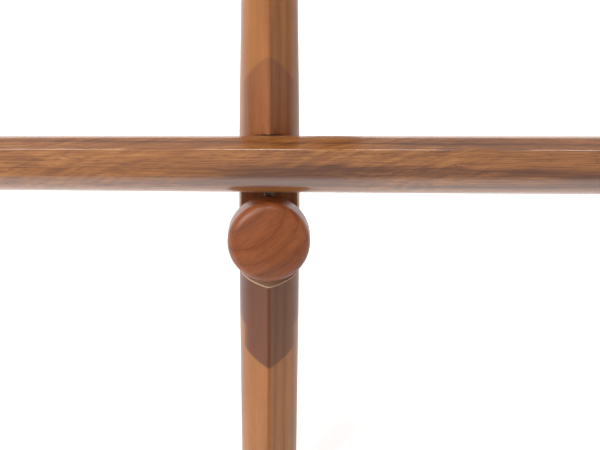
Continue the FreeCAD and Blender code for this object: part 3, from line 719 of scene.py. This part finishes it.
def buildBar(frameName, row, seedShift):
    out, up = frameAxes(frameName)[1:]
    middle = barLine(frameName, row)
    ridge = out * math.cos(barShape["ridgeTurn"]) + up * math.sin(barShape["ridgeTurn"])
    cross = xAxis.cross(ridge)
    shares = legColumns()
    underAngles = [math.pi * i / 44 for i in range(1, 44)]
    nose, halfAngle = barShape["nose"], barShape["halfAngle"]
    endReach = dropTop(0, barShape["endRadius"], nose, halfAngle)
    shoulder = barShape["half"] - barShape["endRound"]
    ends = [shoulder + barShape["endRound"] * math.sin(math.pi / 2 * i / 10) for i in range(11)]
    stations = [-e for e in reversed(ends)] + [-shoulder + 2 * shoulder * i / 110 for i in range(1, 110)] + ends
    rings = []
    for station in stations:
        radius = barRadius(station)
        flat = [(s * radius, dropTop(s * radius, radius, nose, halfAngle)) for s in shares]
        flat += [(radius * math.cos(a), -radius * math.sin(a)) for a in underAngles]
        rise = max(abs(station) - shoulder, 0) / barShape["endRound"]
        limit = endReach - barShape["endRound"] + barShape["endRound"] * math.sqrt(max(1 - rise * rise, 0))
        ring = []
        for a, b in flat:
            reach = math.hypot(a, b)
            if rise > 0 and reach > limit:
                a, b = a * limit / reach, b * limit / reach
            ring.append(Vector((a, b, station)))
        rings.append(ring)
    points, faces = skinRings(rings)
    places = [Vector(point) + seedShift for point in points]
    world = [middle + cross * p[0] + ridge * p[1] + xAxis * p[2] for p in points]
    node = "%s_%s_bar" % (frameName, row)
    piece = keepMesh(pieceName(node), world, faces, places, barWood, 40)
    settle(piece, node, frameName + "_frame")


for number, (frameName, row) in enumerate((f, r) for f in frameNames for r in rowNames):
    buildBar(frameName, row, Vector((0.031 - 0.012 * number, 0.027 + 0.009 * number, 0.47 * number)))
print("bars made")


# knobs, each turned on its own stud to its own angle

knobShape = {
    "radius": 19 * mm,
    "thickness": 18 * mm,
    "frontRound": 4.8 * mm,
    "backRound": 1.2 * mm,
    "dome": 2.2 * mm,            # rise of the face in the middle
    "socketRadius": 5.56 * mm,
    "socketDepth": 9.1 * mm,
    "grainAngles": {"outer_low_left": 38, "outer_low_right": 152, "outer_top_left": 84, "outer_top_right": 17,
                    "inner_low_left": 121, "inner_low_right": 63, "inner_top_left": 5, "inner_top_right": 140},
}


def knobProfile():
    radius, thick = knobShape["radius"], knobShape["thickness"]
    front, back, dome = knobShape["frontRound"], knobShape["backRound"], knobShape["dome"]
    rimTop = thick - dome
    socket, deep = knobShape["socketRadius"], knobShape["socketDepth"]
    rows = [(0.02 * mm, deep, 0), (socket, deep, 0), (socket, 0.0, 0)]
    rows += arcRows(radius - back, back, back, -90, 0, 5)
    rows += [(radius, rimTop - front - 3 * mm, 0)]
    rows += arcRows(radius - front, rimTop - front, front, 0, 84, 12)
    edge, edgeTop = rows[-1][:2]
    for i in range(1, 15):
        share = 1 - i / 14
        rows.append((max(edge * share, 0.02 * mm), edgeTop + (thick - edgeTop) * (1 - share ** 2), 0))
    return rows


for number, (frameName, row, side) in enumerate(clamps):
    across, out, up = frameAxes(frameName)
    spot = knobSpot(frameName, row, side)
    origin = spot + out * (crossing["knobBackOut"] - (spot - pivotPoint).dot(out))
    angle = math.radians(knobShape["grainAngles"]["%s_%s_%s" % (frameName, row, side)])
    right = up.cross(out)
    lengthways = Vector((math.cos(angle), math.sin(angle), 0))
    sideways = Vector((-math.sin(angle), math.cos(angle), 0))
    grain = Matrix((sideways, (0, 0, 1), lengthways))
    shift = Vector((0.028 + 0.011 * number, 0.036 - 0.007 * number, 0.23 * number))
    node = "%s_%s_knob_%s" % (frameName, row, side)
    piece = turnedPiece(pieceName(node), origin, (right, up, out), knobProfile(), knobWood, 96,
                        grain=grain, shift=shift)
    settle(piece, node, "turn_" + node)
print("knobs made")


# steel eyes: a rounded ring on the stud and a stem up into the bar

eyeShape = {
    "ringRadius": 8 * mm,
    "boreRadius": 3.1 * mm,
    "thickness": 5.5 * mm,
    "rounding": 1.0 * mm,
    "neck": [(0.02, 5.5), (2.65, 5.5), (2.7, 7.6), (2.6, 9.0), (2.6, 22.0)],     # radius and height, mm
    "threadFrom": 23.0 * mm,
    "threadPitch": 0.8 * mm,
    "threadTurns": 16,
    "threadRoot": 2.15 * mm,
    "threadCrest": 2.58 * mm,
    "tipRadius": 1.6 * mm,
    "stemLength": 36.2 * mm,
}


def stemProfile():
    rows = [(radius * mm, height * mm, 0) for radius, height in eyeShape["neck"]]
    pitch = eyeShape["threadPitch"]
    for turn in range(eyeShape["threadTurns"]):
        at = eyeShape["threadFrom"] + turn * pitch
        rows += [(eyeShape["threadRoot"], at, 0), (eyeShape["threadCrest"], at + pitch / 2, 0)]
    return rows + [(eyeShape["tipRadius"], eyeShape["stemLength"], 0), (0.02 * mm, eyeShape["stemLength"], 0)]


def ringProfile(inner, outer, thick, rounding):
    corners = [(outer - rounding, rounding, -90), (outer - rounding, thick - rounding, 0),
               (inner + rounding, thick - rounding, 90), (inner + rounding, rounding, 180)]
    return [row for r, h, start in corners for row in arcRows(r, h, rounding, start, start + 90, 4)]


def joinPieces(name, pieces):
    points, faces, places = [], [], []
    for piece in pieces:
        base = len(points)
        points += [vertex.co.copy() for vertex in piece.data.vertices]
        faces += [tuple(base + i for i in face.vertices) for face in piece.data.polygons]
        places += [tuple(item.vector) for item in piece.data.attributes["grainPlace"].data]
    material = pieces[0].data.materials[0]
    for piece in pieces:
        mesh = piece.data
        bpy.data.objects.remove(piece)
        bpy.data.meshes.remove(mesh)
    return keepMesh(name, points, faces, places, material)


eyeRing = ringProfile(eyeShape["boreRadius"], eyeShape["ringRadius"], eyeShape["thickness"],
                      eyeShape["rounding"])
for frameName, row, side in clamps:
    across, out, up = frameAxes(frameName)
    spot = legSpot(frameName, side) + up * knobAlong(frameName, row) + out * crossing["eyeOut"]
    ring = turnedPiece("eyeRing", spot, (across, across.cross(up), out), eyeRing, dullSteel, 64, loop=True)
    stemFoot = spot + out * eyeShape["thickness"] / 2
    stem = turnedPiece("eyeStem", stemFoot, (across, out, up), stemProfile(), dullSteel, 40)
    node = "%s_%s_eye_%s" % (frameName, row, side)
    settle(joinPieces(pieceName(node), [ring, stem]), node, frameName + "_frame")
print("eyes made")


# pivot: bolt with a socket head, domed nut and spacer on each side

pivotShape = {
    "headRadius": 8.5 * mm,
    "headThick": 4 * mm,
    "headRound": 2.4 * mm,
    "socketRadius": 2.9 * mm,
    "socketDepth": 2.2 * mm,
    "shankRadius": 4 * mm,
    "nutRadius": 7.45 * mm,
    "nutThick": 6 * mm,
    "nutFlats": (0.5 * mm, 2.9 * mm),     # where the six flats begin and end
    "nutWaist": 0.86,            # share of the radius at the flats' chamfers
    "nutDome": 5.6 * mm,
    "nutDomeFrom": 3.4 * mm,
    "nutBore": 4.3 * mm,
    "running": 0.06 * mm,        # play round the shank
    "legHalf": 12.15 * mm,       # leg axis to the faces beside the spacer
    "spacerRadius": 8.5 * mm,
}


def boltProfile(length):
    head, thick, rounding = pivotShape["headRadius"], pivotShape["headThick"], pivotShape["headRound"]
    socket, deep = pivotShape["socketRadius"], pivotShape["socketDepth"]
    rows = [(0.02 * mm, deep, 6), (socket, deep, 6), (socket, 0.25 * mm, 6), (socket + 0.3 * mm, 0.0, 0)]
    rows += arcRows(head - rounding, rounding, rounding, -90, 0, 8)
    rows += [(head, thick - 0.2 * mm, 0), (head - 0.2 * mm, thick, 0), (pivotShape["shankRadius"], thick, 0)]
    shank, chamfer = pivotShape["shankRadius"], 0.5 * mm
    return rows + [(shank, length - chamfer, 0), (shank - chamfer, length, 0), (0.02 * mm, length, 0)]


def nutProfile():
    radius, waist = pivotShape["nutRadius"], pivotShape["nutRadius"] * pivotShape["nutWaist"]
    bore, deep = pivotShape["shankRadius"] + pivotShape["running"], pivotShape["nutBore"]
    low, high = pivotShape["nutFlats"]
    dome, domeFrom, thick = pivotShape["nutDome"], pivotShape["nutDomeFrom"], pivotShape["nutThick"]
    rows = [(0.02 * mm, deep, 0), (bore, deep, 0), (bore, 0.0, 0), (waist, 0.0, 0)]
    rows += [(radius, low, 6), (radius, high, 6), (waist, 3.3 * mm, 0), (dome, domeFrom, 0)]
    rows += [(dome * math.cos(a), domeFrom + (thick - domeFrom) * math.sin(a), 0)
             for a in (math.radians(86) * i / 8 for i in range(1, 9))]
    return rows + [(0.02 * mm, thick, 0)]


def pivotAxes(along):
    yAxis = Vector((0, 1, 0))
    return yAxis, along.cross(yAxis), along


spacerPieces = []
for side, away in (("left", -1), ("right", 1)):
    inwards = pivotAxes(xAxis * -away)
    low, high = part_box("pivot_bolt_" + side)
    start = Vector((low.x if away < 0 else high.x, pivotPoint.y, pivotPoint.z))
    bolt = turnedPiece("pivotBolt" + side.capitalize(), start, inwards, boltProfile(high.x - low.x), steel, 72)
    settle(bolt, "pivot_bolt_" + side, "outer_frame")
    low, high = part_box("pivot_nut_" + side)
    start = Vector((high.x if away > 0 else low.x, pivotPoint.y, pivotPoint.z))
    nut = turnedPiece("pivotNut" + side.capitalize(), start, inwards, nutProfile(), steel, 72)
    settle(nut, "pivot_nut_" + side, "outer_frame")
    gapEnd = abs(legSpot("outer", side).x) - pivotShape["legHalf"]
    gapStart = abs(legSpot("inner", side).x) + pivotShape["legHalf"]
    spot = Vector((away * gapStart, pivotPoint.y, pivotPoint.z))
    rows = ringProfile(pivotShape["shankRadius"] + pivotShape["running"], pivotShape["spacerRadius"],
                       gapEnd - gapStart, 0.5 * mm)
    spacerPieces.append(turnedPiece("spacer" + side.capitalize(), spot, pivotAxes(xAxis * away), rows,
                                    spacerNylon, 64, loop=True))
settle(joinPieces("pivotSpacers", spacerPieces), "pivot_spacers", "outer_frame")
print("pivots made")


# foot pads, oval with a grip groove round the side and rings underneath

padShape = {                     # rows are the share of the half width and the height in mm
    "rows": [(0.45, 0.0), (0.62, 0.0), (0.65, 0.5), (0.74, 0.5), (0.77, 0.0),
             (0.93, 0.0), (0.985, 0.35), (1.0, 0.8), (1.0, 1.25), (0.965, 1.4),
             (0.965, 1.75), (1.0, 1.9), (1.0, 2.6), (0.97, 2.95), (0.93, 3.0)],
    "segments": 80,
}


def buildPad(frameName, side):
    node = "%s_foot_pad_%s" % (frameName, side)
    low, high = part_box(node)
    middle, half = (low + high) / 2, (high - low) / 2
    rings = []
    for share, height in padShape["rows"]:
        turns = [2 * math.pi * step / padShape["segments"] for step in range(padShape["segments"])]
        rings.append([Vector((middle.x + share * half.x * math.cos(turn),
                              middle.y + share * half.y * math.sin(turn), low.z + height * mm))
                      for turn in turns])
    points, faces = skinRings(rings)
    piece = keepMesh("%sPad%s" % (frameName, side.capitalize()), points, faces, points, footRubber, 50)
    settle(piece, node, frameName + "_frame")


for frameName, side in legNames:
    buildPad(frameName, side)
print("pads made")


# leather straps looped round both top bars

strapShape = {
    "thickness": 2.6 * mm,
    "halfWidth": 22.5 * mm,
    "lapStart": 40 * mm,         # bar axis to where the tail meets the strap
    "lapLength": 32 * mm,
    "loopGap": 0.4 * mm,
    "sag": 1.2 * mm,
    "cornerRound": 8 * mm,
    "step": 2.4 * mm,
    "stitchIn": 19.6 * mm,       # middle of the strap to each row of stitches
    "stitchOut": 1.0 * mm,       # middle of the leather to the stitches
    "easeReach": 9 * mm,         # how far from the lap's start the bend is eased
    "easeTurns": 3,
    "places": {"strap_far_left": -255 * mm, "strap_near_left": -75 * mm,
               "strap_near_right": 75 * mm, "strap_far_right": 255 * mm},
}
strapSection = [(-21.6, 1.30), (-20.1, 1.30), (-19.6, 1.02), (-19.1, 1.30), (-12.0, 1.30)]
strapSection += [(round(-5.6 + 0.4 * i, 1), 1.30) for i in range(29)]
strapSection += [(12.0, 1.30), (19.1, 1.30), (19.6, 1.02), (20.1, 1.30), (21.6, 1.30),
                (22.25, 0.95), (22.5, 0.35), (22.5, -0.35), (22.25, -0.95), (21.6, -1.30), (12.0, -1.30),
                (4.0, -1.30), (-4.0, -1.30), (-12.0, -1.30), (-21.6, -1.30), (-22.25, -0.95),
                (-22.5, -0.35), (-22.5, 0.35), (-22.25, 0.95)]
rivetShares = (0.25, 0.75)       # along the lap
rivetSeat = {
    "depth": 1.4 * mm,           # how far each head is sunk
    "radius": 4.15 * mm,
    "lip": 0.55 * mm,            # rounded edge of the recess
    "denser": 7.5 * mm,          # closer rows within this of a rivet
    "rowParts": 6,
}
rearBar = barLine("outer", "top")
frontBar = barLine("inner", "top")


def loopRadius(placeX):
    # from the bar's axis to the middle of the leather
    reach = dropTop(0, barRadius(placeX), barShape["nose"], barShape["halfAngle"])
    return reach + strapShape["loopGap"] + strapShape["thickness"] / 2


def halfPath(placeX, bar, away):
    # from the lap's end, round the bar to its top; y is measured outwards
    radius = loopRadius(placeX)
    lapHeight = radius - strapShape["thickness"] - 0.05 * mm
    tip = (-strapShape["lapStart"], lapHeight)
    points = [(-strapShape["lapStart"] - strapShape["lapLength"], lapHeight), tip]
    far = math.hypot(*tip)
    first = math.atan2(tip[1], tip[0]) + math.acos(radius / far)
    last = 2.5 * math.pi
    steps = 40
    for i in range(steps + 1):
        angle = first + (last - first) * i / steps
        points.append((radius * math.cos(angle), radius * math.sin(angle)))
    return [Vector((placeX, bar.y + away * y, bar.z + z)) for y, z in points]


def evenSteps(points, step):
    lengths = [0.0]
    for a, b in zip(points, points[1:]):
        lengths.append(lengths[-1] + (b - a).length)
    count = max(int(lengths[-1] / step), 2)
    result, index = [], 0
    for i in range(count + 1):
        at = lengths[-1] * i / count
        while index < len(lengths) - 2 and lengths[index + 1] < at:
            index += 1
        share = (at - lengths[index]) / max(lengths[index + 1] - lengths[index], 1e-9)
        result.append(points[index].lerp(points[index + 1], share))
    return result, lengths[-1]


def strapPath(placeX):
    rear = halfPath(placeX, rearBar, 1)
    front = halfPath(placeX, frontBar, -1)
    topPoints = []
    free = rearBar.y - strapShape["lapStart"] - strapShape["lapLength"] - 3 * mm
    for i in range(1, 60):
        point = rear[-1].lerp(front[-1], i / 60)
        if abs(point.y) < free:
            point.z -= strapShape["sag"] * math.cos(math.pi / 2 * point.y / free) ** 2
        topPoints.append(point)
    points, length = evenSteps(rear + topPoints + list(reversed(front)), strapShape["step"])
    for repeat in range(strapShape["easeTurns"]):     # ease the bend where the tail leaves the strap
        eased = list(points)
        for i in range(1, len(points) - 1):
            away = abs(abs(points[i].y) - (rearBar.y - strapShape["lapStart"]))
            if away < strapShape["easeReach"] and points[i].z < rearBar.z + 15 * mm:
                eased[i] = points[i].lerp((points[i - 1] + points[i + 1]) / 2, 0.6)
        points = eased
    return points, length


def pathNormals(points):
    normals = []
    for i in range(len(points)):
        before = points[max(i - 1, 0)]
        after = points[min(i + 1, len(points) - 1)]
        along = (after - before).normalized()
        normals.append(xAxis.cross(along).normalized())
    return normals


def rivetSpots(placeX):
    spots = []
    for bar, away in ((rearBar, 1), (frontBar, -1)):
        for share in rivetShares:
            inwards = strapShape["lapStart"] + share * strapShape["lapLength"]
            top = bar.z + loopRadius(placeX) + strapShape["thickness"] / 2
            spots.append(Vector((placeX, bar.y - away * inwards, top)))
    return spots


def denserNear(points, spots):
    # closer rows where the rivets are sunk
    result = []
    for a, b in zip(points, points[1:]):
        result.append(a)
        near = min((Vector((0, (a.y + b.y) / 2 - s.y, (a.z + b.z) / 2 - s.z)).length for s in spots))
        if near < rivetSeat["denser"] and abs(a.z - b.z) < 0.2 * mm and a.z > spots[0].z - 2.2 * mm:
            result += [a.lerp(b, i / rivetSeat["rowParts"]) for i in range(1, rivetSeat["rowParts"])]
    return result + [points[-1]]


def recessAt(at, spots):
    away = min(math.hypot(at.x - s.x, at.y - s.y) for s in spots)
    if at.z < spots[0].z - 1 * mm:
        return 0.0
    share = min(max((rivetSeat["radius"] + rivetSeat["lip"] - away) / rivetSeat["lip"], 0), 1)
    return rivetSeat["depth"] * share * share * (3 - 2 * share)


def buildStrap(node, placeX, number):
    points, length = strapPath(placeX)
    spots = rivetSpots(placeX)
    points = denserNear(points, spots)
    normals = pathNormals(points)
    middle = len(points) // 2
    if normals[middle].z < 0:
        normals = [-n for n in normals]
    rings, places = [], []
    run = 0.0
    for i, point in enumerate(points):
        run += (point - points[i - 1]).length if i else 0.0
        toEnd = min(run, length - run)
        corner = strapShape["cornerRound"]
        width = 1.0
        if toEnd < corner:
            cutBack = corner - math.sqrt(max(corner ** 2 - (corner - toEnd) ** 2, 0))
            width = 1 - cutBack / strapShape["halfWidth"]
        ring = []
        for u, v in strapSection:
            at = point + xAxis * (u * mm * width) + normals[i] * (v * mm)
            if v > 1.2 and abs(u) < 6:
                at.z -= recessAt(at, spots)
            ring.append(at)
            places.append(Vector((u * mm, v * mm, run + 1.1 * number)))
        rings.append(ring)
    skin, faces = skinRings(rings)
    places += [Vector((0, 0, 1.1 * number)), Vector((0, 0, length + 1.1 * number))]
    piece = keepMesh(pieceName(node), skin, faces, places, strapLeather, 60)
    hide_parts(node)
    rows = [[point + xAxis * (away * strapShape["stitchIn"]) + normals[i] * strapShape["stitchOut"]
             for i, point in enumerate(points)][4:-4] for away in (-1, 1)]
    return piece, rows, length


# stitches: one small spindle every pitch along a line

def startTree(name, sizes):
    tree = bpy.data.node_groups.new(name, "GeometryNodeTree")
    face = tree.interface
    face.new_socket(name="Geometry", in_out="INPUT", socket_type="NodeSocketGeometry")
    for label, start in sizes:
        face.new_socket(name=label, in_out="INPUT", socket_type="NodeSocketFloat").default_value = start
    face.new_socket(name="Material", in_out="INPUT", socket_type="NodeSocketMaterial")
    face.new_socket(name="Geometry", in_out="OUTPUT", socket_type="NodeSocketGeometry")
    return tree, addNode(tree, "NodeGroupInput").outputs


def endTree(tree, given, copyValues):
    copies = addNode(tree, "GeometryNodeInstanceOnPoints", copyValues).outputs[0]
    real = addNode(tree, "GeometryNodeRealizeInstances", {0: copies}).outputs[0]
    values = {"Geometry": real, "Material": given["Material"]}
    done = addNode(tree, "GeometryNodeSetMaterial", values).outputs[0]
    addNode(tree, "NodeGroupOutput", {"Geometry": done})
    return tree


def stitchTree():
    tree, given = startTree("stitchRow", (("Pitch", 4.2 * mm), ("Stitch Length", 3.1 * mm),
                                          ("Thread Width", 0.85 * mm)))
    line = addNode(tree, "GeometryNodeMeshToCurve", {"Mesh": given["Geometry"]}).outputs[0]
    spots = addNode(tree, "GeometryNodeCurveToPoints", {"Curve": line, "Length": given["Pitch"]},
                    mode="LENGTH").outputs
    half = times(tree, given["Thread Width"], 0.5)
    spindle = addNode(tree, "GeometryNodeMeshUVSphere", {"Segments": 8, "Rings": 6, "Radius": 1.0}).outputs[0]
    return endTree(tree, given, {
        "Points": spots["Points"], "Instance": spindle, "Rotation": spots["Rotation"],
        "Scale": joinXyz(tree, half, half, times(tree, given["Stitch Length"], 0.5))})


# rivets: a low domed head sunk in the leather, a washer and a peened end below

rivetShape = {
    "headRadius": 4 * mm,
    "headThickness": 1.3 * mm,
    "grip": 3.9 * mm,            # head to washer
    "washerThickness": 0.9 * mm,
    "peenShare": 0.5,            # of the head's radius
    "shankShare": 0.4,
    "peenHeight": 0.33,          # of the head's thickness
}


def rivetTree():
    tree, given = startTree("rivets", (("Head Radius", rivetShape["headRadius"]),
                                       ("Head Thickness", rivetShape["headThickness"]),
                                       ("Grip", rivetShape["grip"])))
    radius, thick, washerThick = given["Head Radius"], given["Head Thickness"], rivetShape["washerThickness"]
    spots = addNode(tree, "GeometryNodeMeshToPoints", {"Mesh": given["Geometry"]}).outputs[0]
    parts = tree.nodes.new("GeometryNodeJoinGeometry")

    def putAt(mesh, height=0.0, scale=(1, 1, 1)):
        values = {"Geometry": mesh, "Translation": joinXyz(tree, z=height), "Scale": scale}
        tree.links.new(addNode(tree, "GeometryNodeTransform", values).outputs[0], parts.inputs[0])

    def rod(vertices, reach, depth):
        values = {"Vertices": vertices, "Radius": reach, "Depth": depth}
        return addNode(tree, "GeometryNodeMeshCylinder", values).outputs[0]

    dome = addNode(tree, "GeometryNodeMeshUVSphere", {"Segments": 32, "Rings": 16, "Radius": 1.0}).outputs[0]
    under = times(tree, given["Grip"], -1.0)
    peenSize = times(tree, radius, rivetShape["peenShare"])
    putAt(dome, 0.0, joinXyz(tree, radius, radius, thick))
    putAt(rod(32, radius, washerThick), plus(tree, under, -washerThick / 2))
    putAt(dome, plus(tree, under, -washerThick),
          joinXyz(tree, peenSize, peenSize, times(tree, thick, rivetShape["peenHeight"])))
    shank = times(tree, radius, rivetShape["shankShare"])
    putAt(rod(20, shank, given["Grip"]), times(tree, given["Grip"], -0.5))
    return endTree(tree, given, {"Points": spots, "Instance": parts.outputs[0]})


def runTree(name, points, edges, tree, material):
    mesh = bpy.data.meshes.new(name + "Line")
    mesh.from_pydata([tuple(p) for p in points], edges, [])
    source = linkObject(name + "Line", mesh)
    modifier = source.modifiers.new("made", "NODES")
    modifier.node_group = tree
    for item in tree.interface.items_tree:
        if item.item_type == "SOCKET" and item.in_out == "INPUT" and item.name == "Material":
            modifier[item.identifier] = material
    bpy.context.view_layer.update()
    evaluated = source.evaluated_get(bpy.context.evaluated_depsgraph_get())
    result = bpy.data.meshes.new_from_object(evaluated)
    result.name = name
    source.modifiers.remove(modifier)
    bpy.data.objects.remove(source)
    bpy.data.meshes.remove(mesh)
    result.materials.clear()
    result.materials.append(material)
    result.shade_smooth()
    result.set_sharp_from_angle(angle=math.radians(45))
    return linkObject(name, result)


stitchRow = stitchTree()
rivetSet = rivetTree()
straps = []
rivetPoints = {"rear": [], "front": []}
for number, (node, placeX) in enumerate(strapShape["places"].items()):
    strap, stitchLines, length = buildStrap(node, placeX, number)
    points, edges = [], []
    for line in stitchLines:
        base = len(points)
        points += line
        edges += [(base + i, base + i + 1) for i in range(len(line) - 1)]
    stitches = runTree(strap.name + "Stitches", points, edges, stitchRow, waxedThread)
    straps.append((strap, stitches, length))
    for spot in rivetSpots(placeX):
        rivetPoints["rear" if spot.y > 0 else "front"].append(spot - Vector((0, 0, rivetSeat["depth"])))

for key in ("rear", "front"):
    piece = runTree(key + "Rivets", rivetPoints[key], [], rivetSet, copper)
    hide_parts(key + "_rivets")
    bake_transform(piece)
for strap, stitches, length in straps:
    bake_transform(strap)
    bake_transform(stitches)
    print(strap.name, "cut", round(2 * strapShape["halfWidth"], 4), "by", round(length, 4))
print("straps made")


# hardware kept as made

for name, node in frame["nodes"].items():
    if node.hide_render:
        continue
    material = brassCad if "_insert_" in name else steelCad
    for slot in node.material_slots:
        slot.link = "OBJECT"
        slot.material = material


# floor, world, lights and camera

stageLook = {
    "floorColour": (0.82, 0.82, 0.82, 1),
    "floorGlow": 0.6,
    "worldGlow": 0.48,
    "floorHalf": 30.0,
    "lamps": {
        "keyLight": {"place": (-1.05, -0.45, 1.20), "size": (0.7, 0.7), "power": 13.0},
        "fillLight": {"place": (1.5, -1.3, 0.9), "size": (1.2, 1.2), "power": 3.6},
        "topLight": {"place": (-0.25, 0.36, 1.75), "size": (1.7, 0.22), "power": 20.0},
    },
}


def seenShare(tree, rays):
    path = addNode(tree, "ShaderNodeLightPath").outputs
    seen = 0.0
    for ray in rays:
        seen = plus(tree, path[ray], seen)
    return mathOf(tree, "MINIMUM", seen, 1.0)


white = (1, 1, 1, 1)
floorMaterial, tree, shader = startMaterial("paleFloor")
tree.nodes.remove(shader)
soft = addNode(tree, "ShaderNodeBsdfDiffuse", {"Color": stageLook["floorColour"]}).outputs[0]
glow = addNode(tree, "ShaderNodeEmission", {"Color": white, "Strength": stageLook["floorGlow"]}).outputs[0]
lit = addNode(tree, "ShaderNodeAddShader", {0: soft, 1: glow}).outputs[0]
shown = seenShare(tree, ("Is Camera Ray", "Is Glossy Ray"))
mix = addNode(tree, "ShaderNodeMixShader", {0: shown, 1: soft, 2: lit}).outputs[0]
feed(tree, tree.nodes["Material Output"], {"Surface": mix})

half = stageLook["floorHalf"]
floorMesh = bpy.data.meshes.new("floor")
floorPoints = [(-half, -half, 0), (half, -half, 0), (half, half, 0), (-half, half, 0)]
floorMesh.from_pydata(floorPoints, [], [(0, 1, 2, 3)])
floorMesh.materials.append(floorMaterial)
linkObject("floor", floorMesh)

world = bpy.data.worlds.new("studio")
bpy.context.scene.world = world
world.use_nodes = True
tree = world.node_tree
dim = addNode(tree, "ShaderNodeBackground", {"Color": white, "Strength": stageLook["worldGlow"]}).outputs[0]
plain = addNode(tree, "ShaderNodeBackground", {"Color": white, "Strength": 1.0}).outputs[0]
shown = seenShare(tree, ("Is Camera Ray",))
mix = addNode(tree, "ShaderNodeMixShader", {0: shown, 1: dim, 2: plain}).outputs[0]
feed(tree, tree.nodes["World Output"], {"Surface": mix})

cameraShape = {
    "rightOfLeg": 14.3 * mm,     # the view's middle, beside the outer left leg
    "down": math.radians(57),
    "distance": 1.3,
    "fieldWidth": 274 * mm,      # width seen at the crossing
    "belowBar": 27.8 * mm,       # the view's middle, down from the bar's axis
    "roll": math.radians(0.22),
}
lowBar = barLine("outer", "low")
lookAt = Vector((legSpot("outer", "left").x + cameraShape["rightOfLeg"], lowBar.y, lowBar.z))
for name, lamp in stageLook["lamps"].items():
    data = bpy.data.lights.new(name, "AREA")
    data.shape = "RECTANGLE"
    data.size, data.size_y = lamp["size"]
    data.energy = lamp["power"]
    light = linkObject(name, data)
    light.location = lamp["place"]
    light.rotation_euler = (lookAt - light.location).to_track_quat("-Z", "Y").to_euler()

look = Vector((0, math.cos(cameraShape["down"]), -math.sin(cameraShape["down"])))
upwards = Vector((0, math.sin(cameraShape["down"]), math.cos(cameraShape["down"])))
target = lookAt - upwards * cameraShape["belowBar"]
cameraData = bpy.data.cameras.new("camera")
cameraData.sensor_width = 36
cameraData.lens = 36 * cameraShape["distance"] / cameraShape["fieldWidth"]
cameraData.clip_start = 0.01
cameraData.clip_end = 100
camera = linkObject("camera", cameraData)
camera.location = target - look * cameraShape["distance"]
turn = look.to_track_quat("-Z", "Y").to_matrix() @ Matrix.Rotation(cameraShape["roll"], 3, "Z")
camera.rotation_euler = turn.to_euler()
bpy.context.scene.camera = camera
bpy.context.scene.view_settings.view_transform = "Standard"
print("stage made")
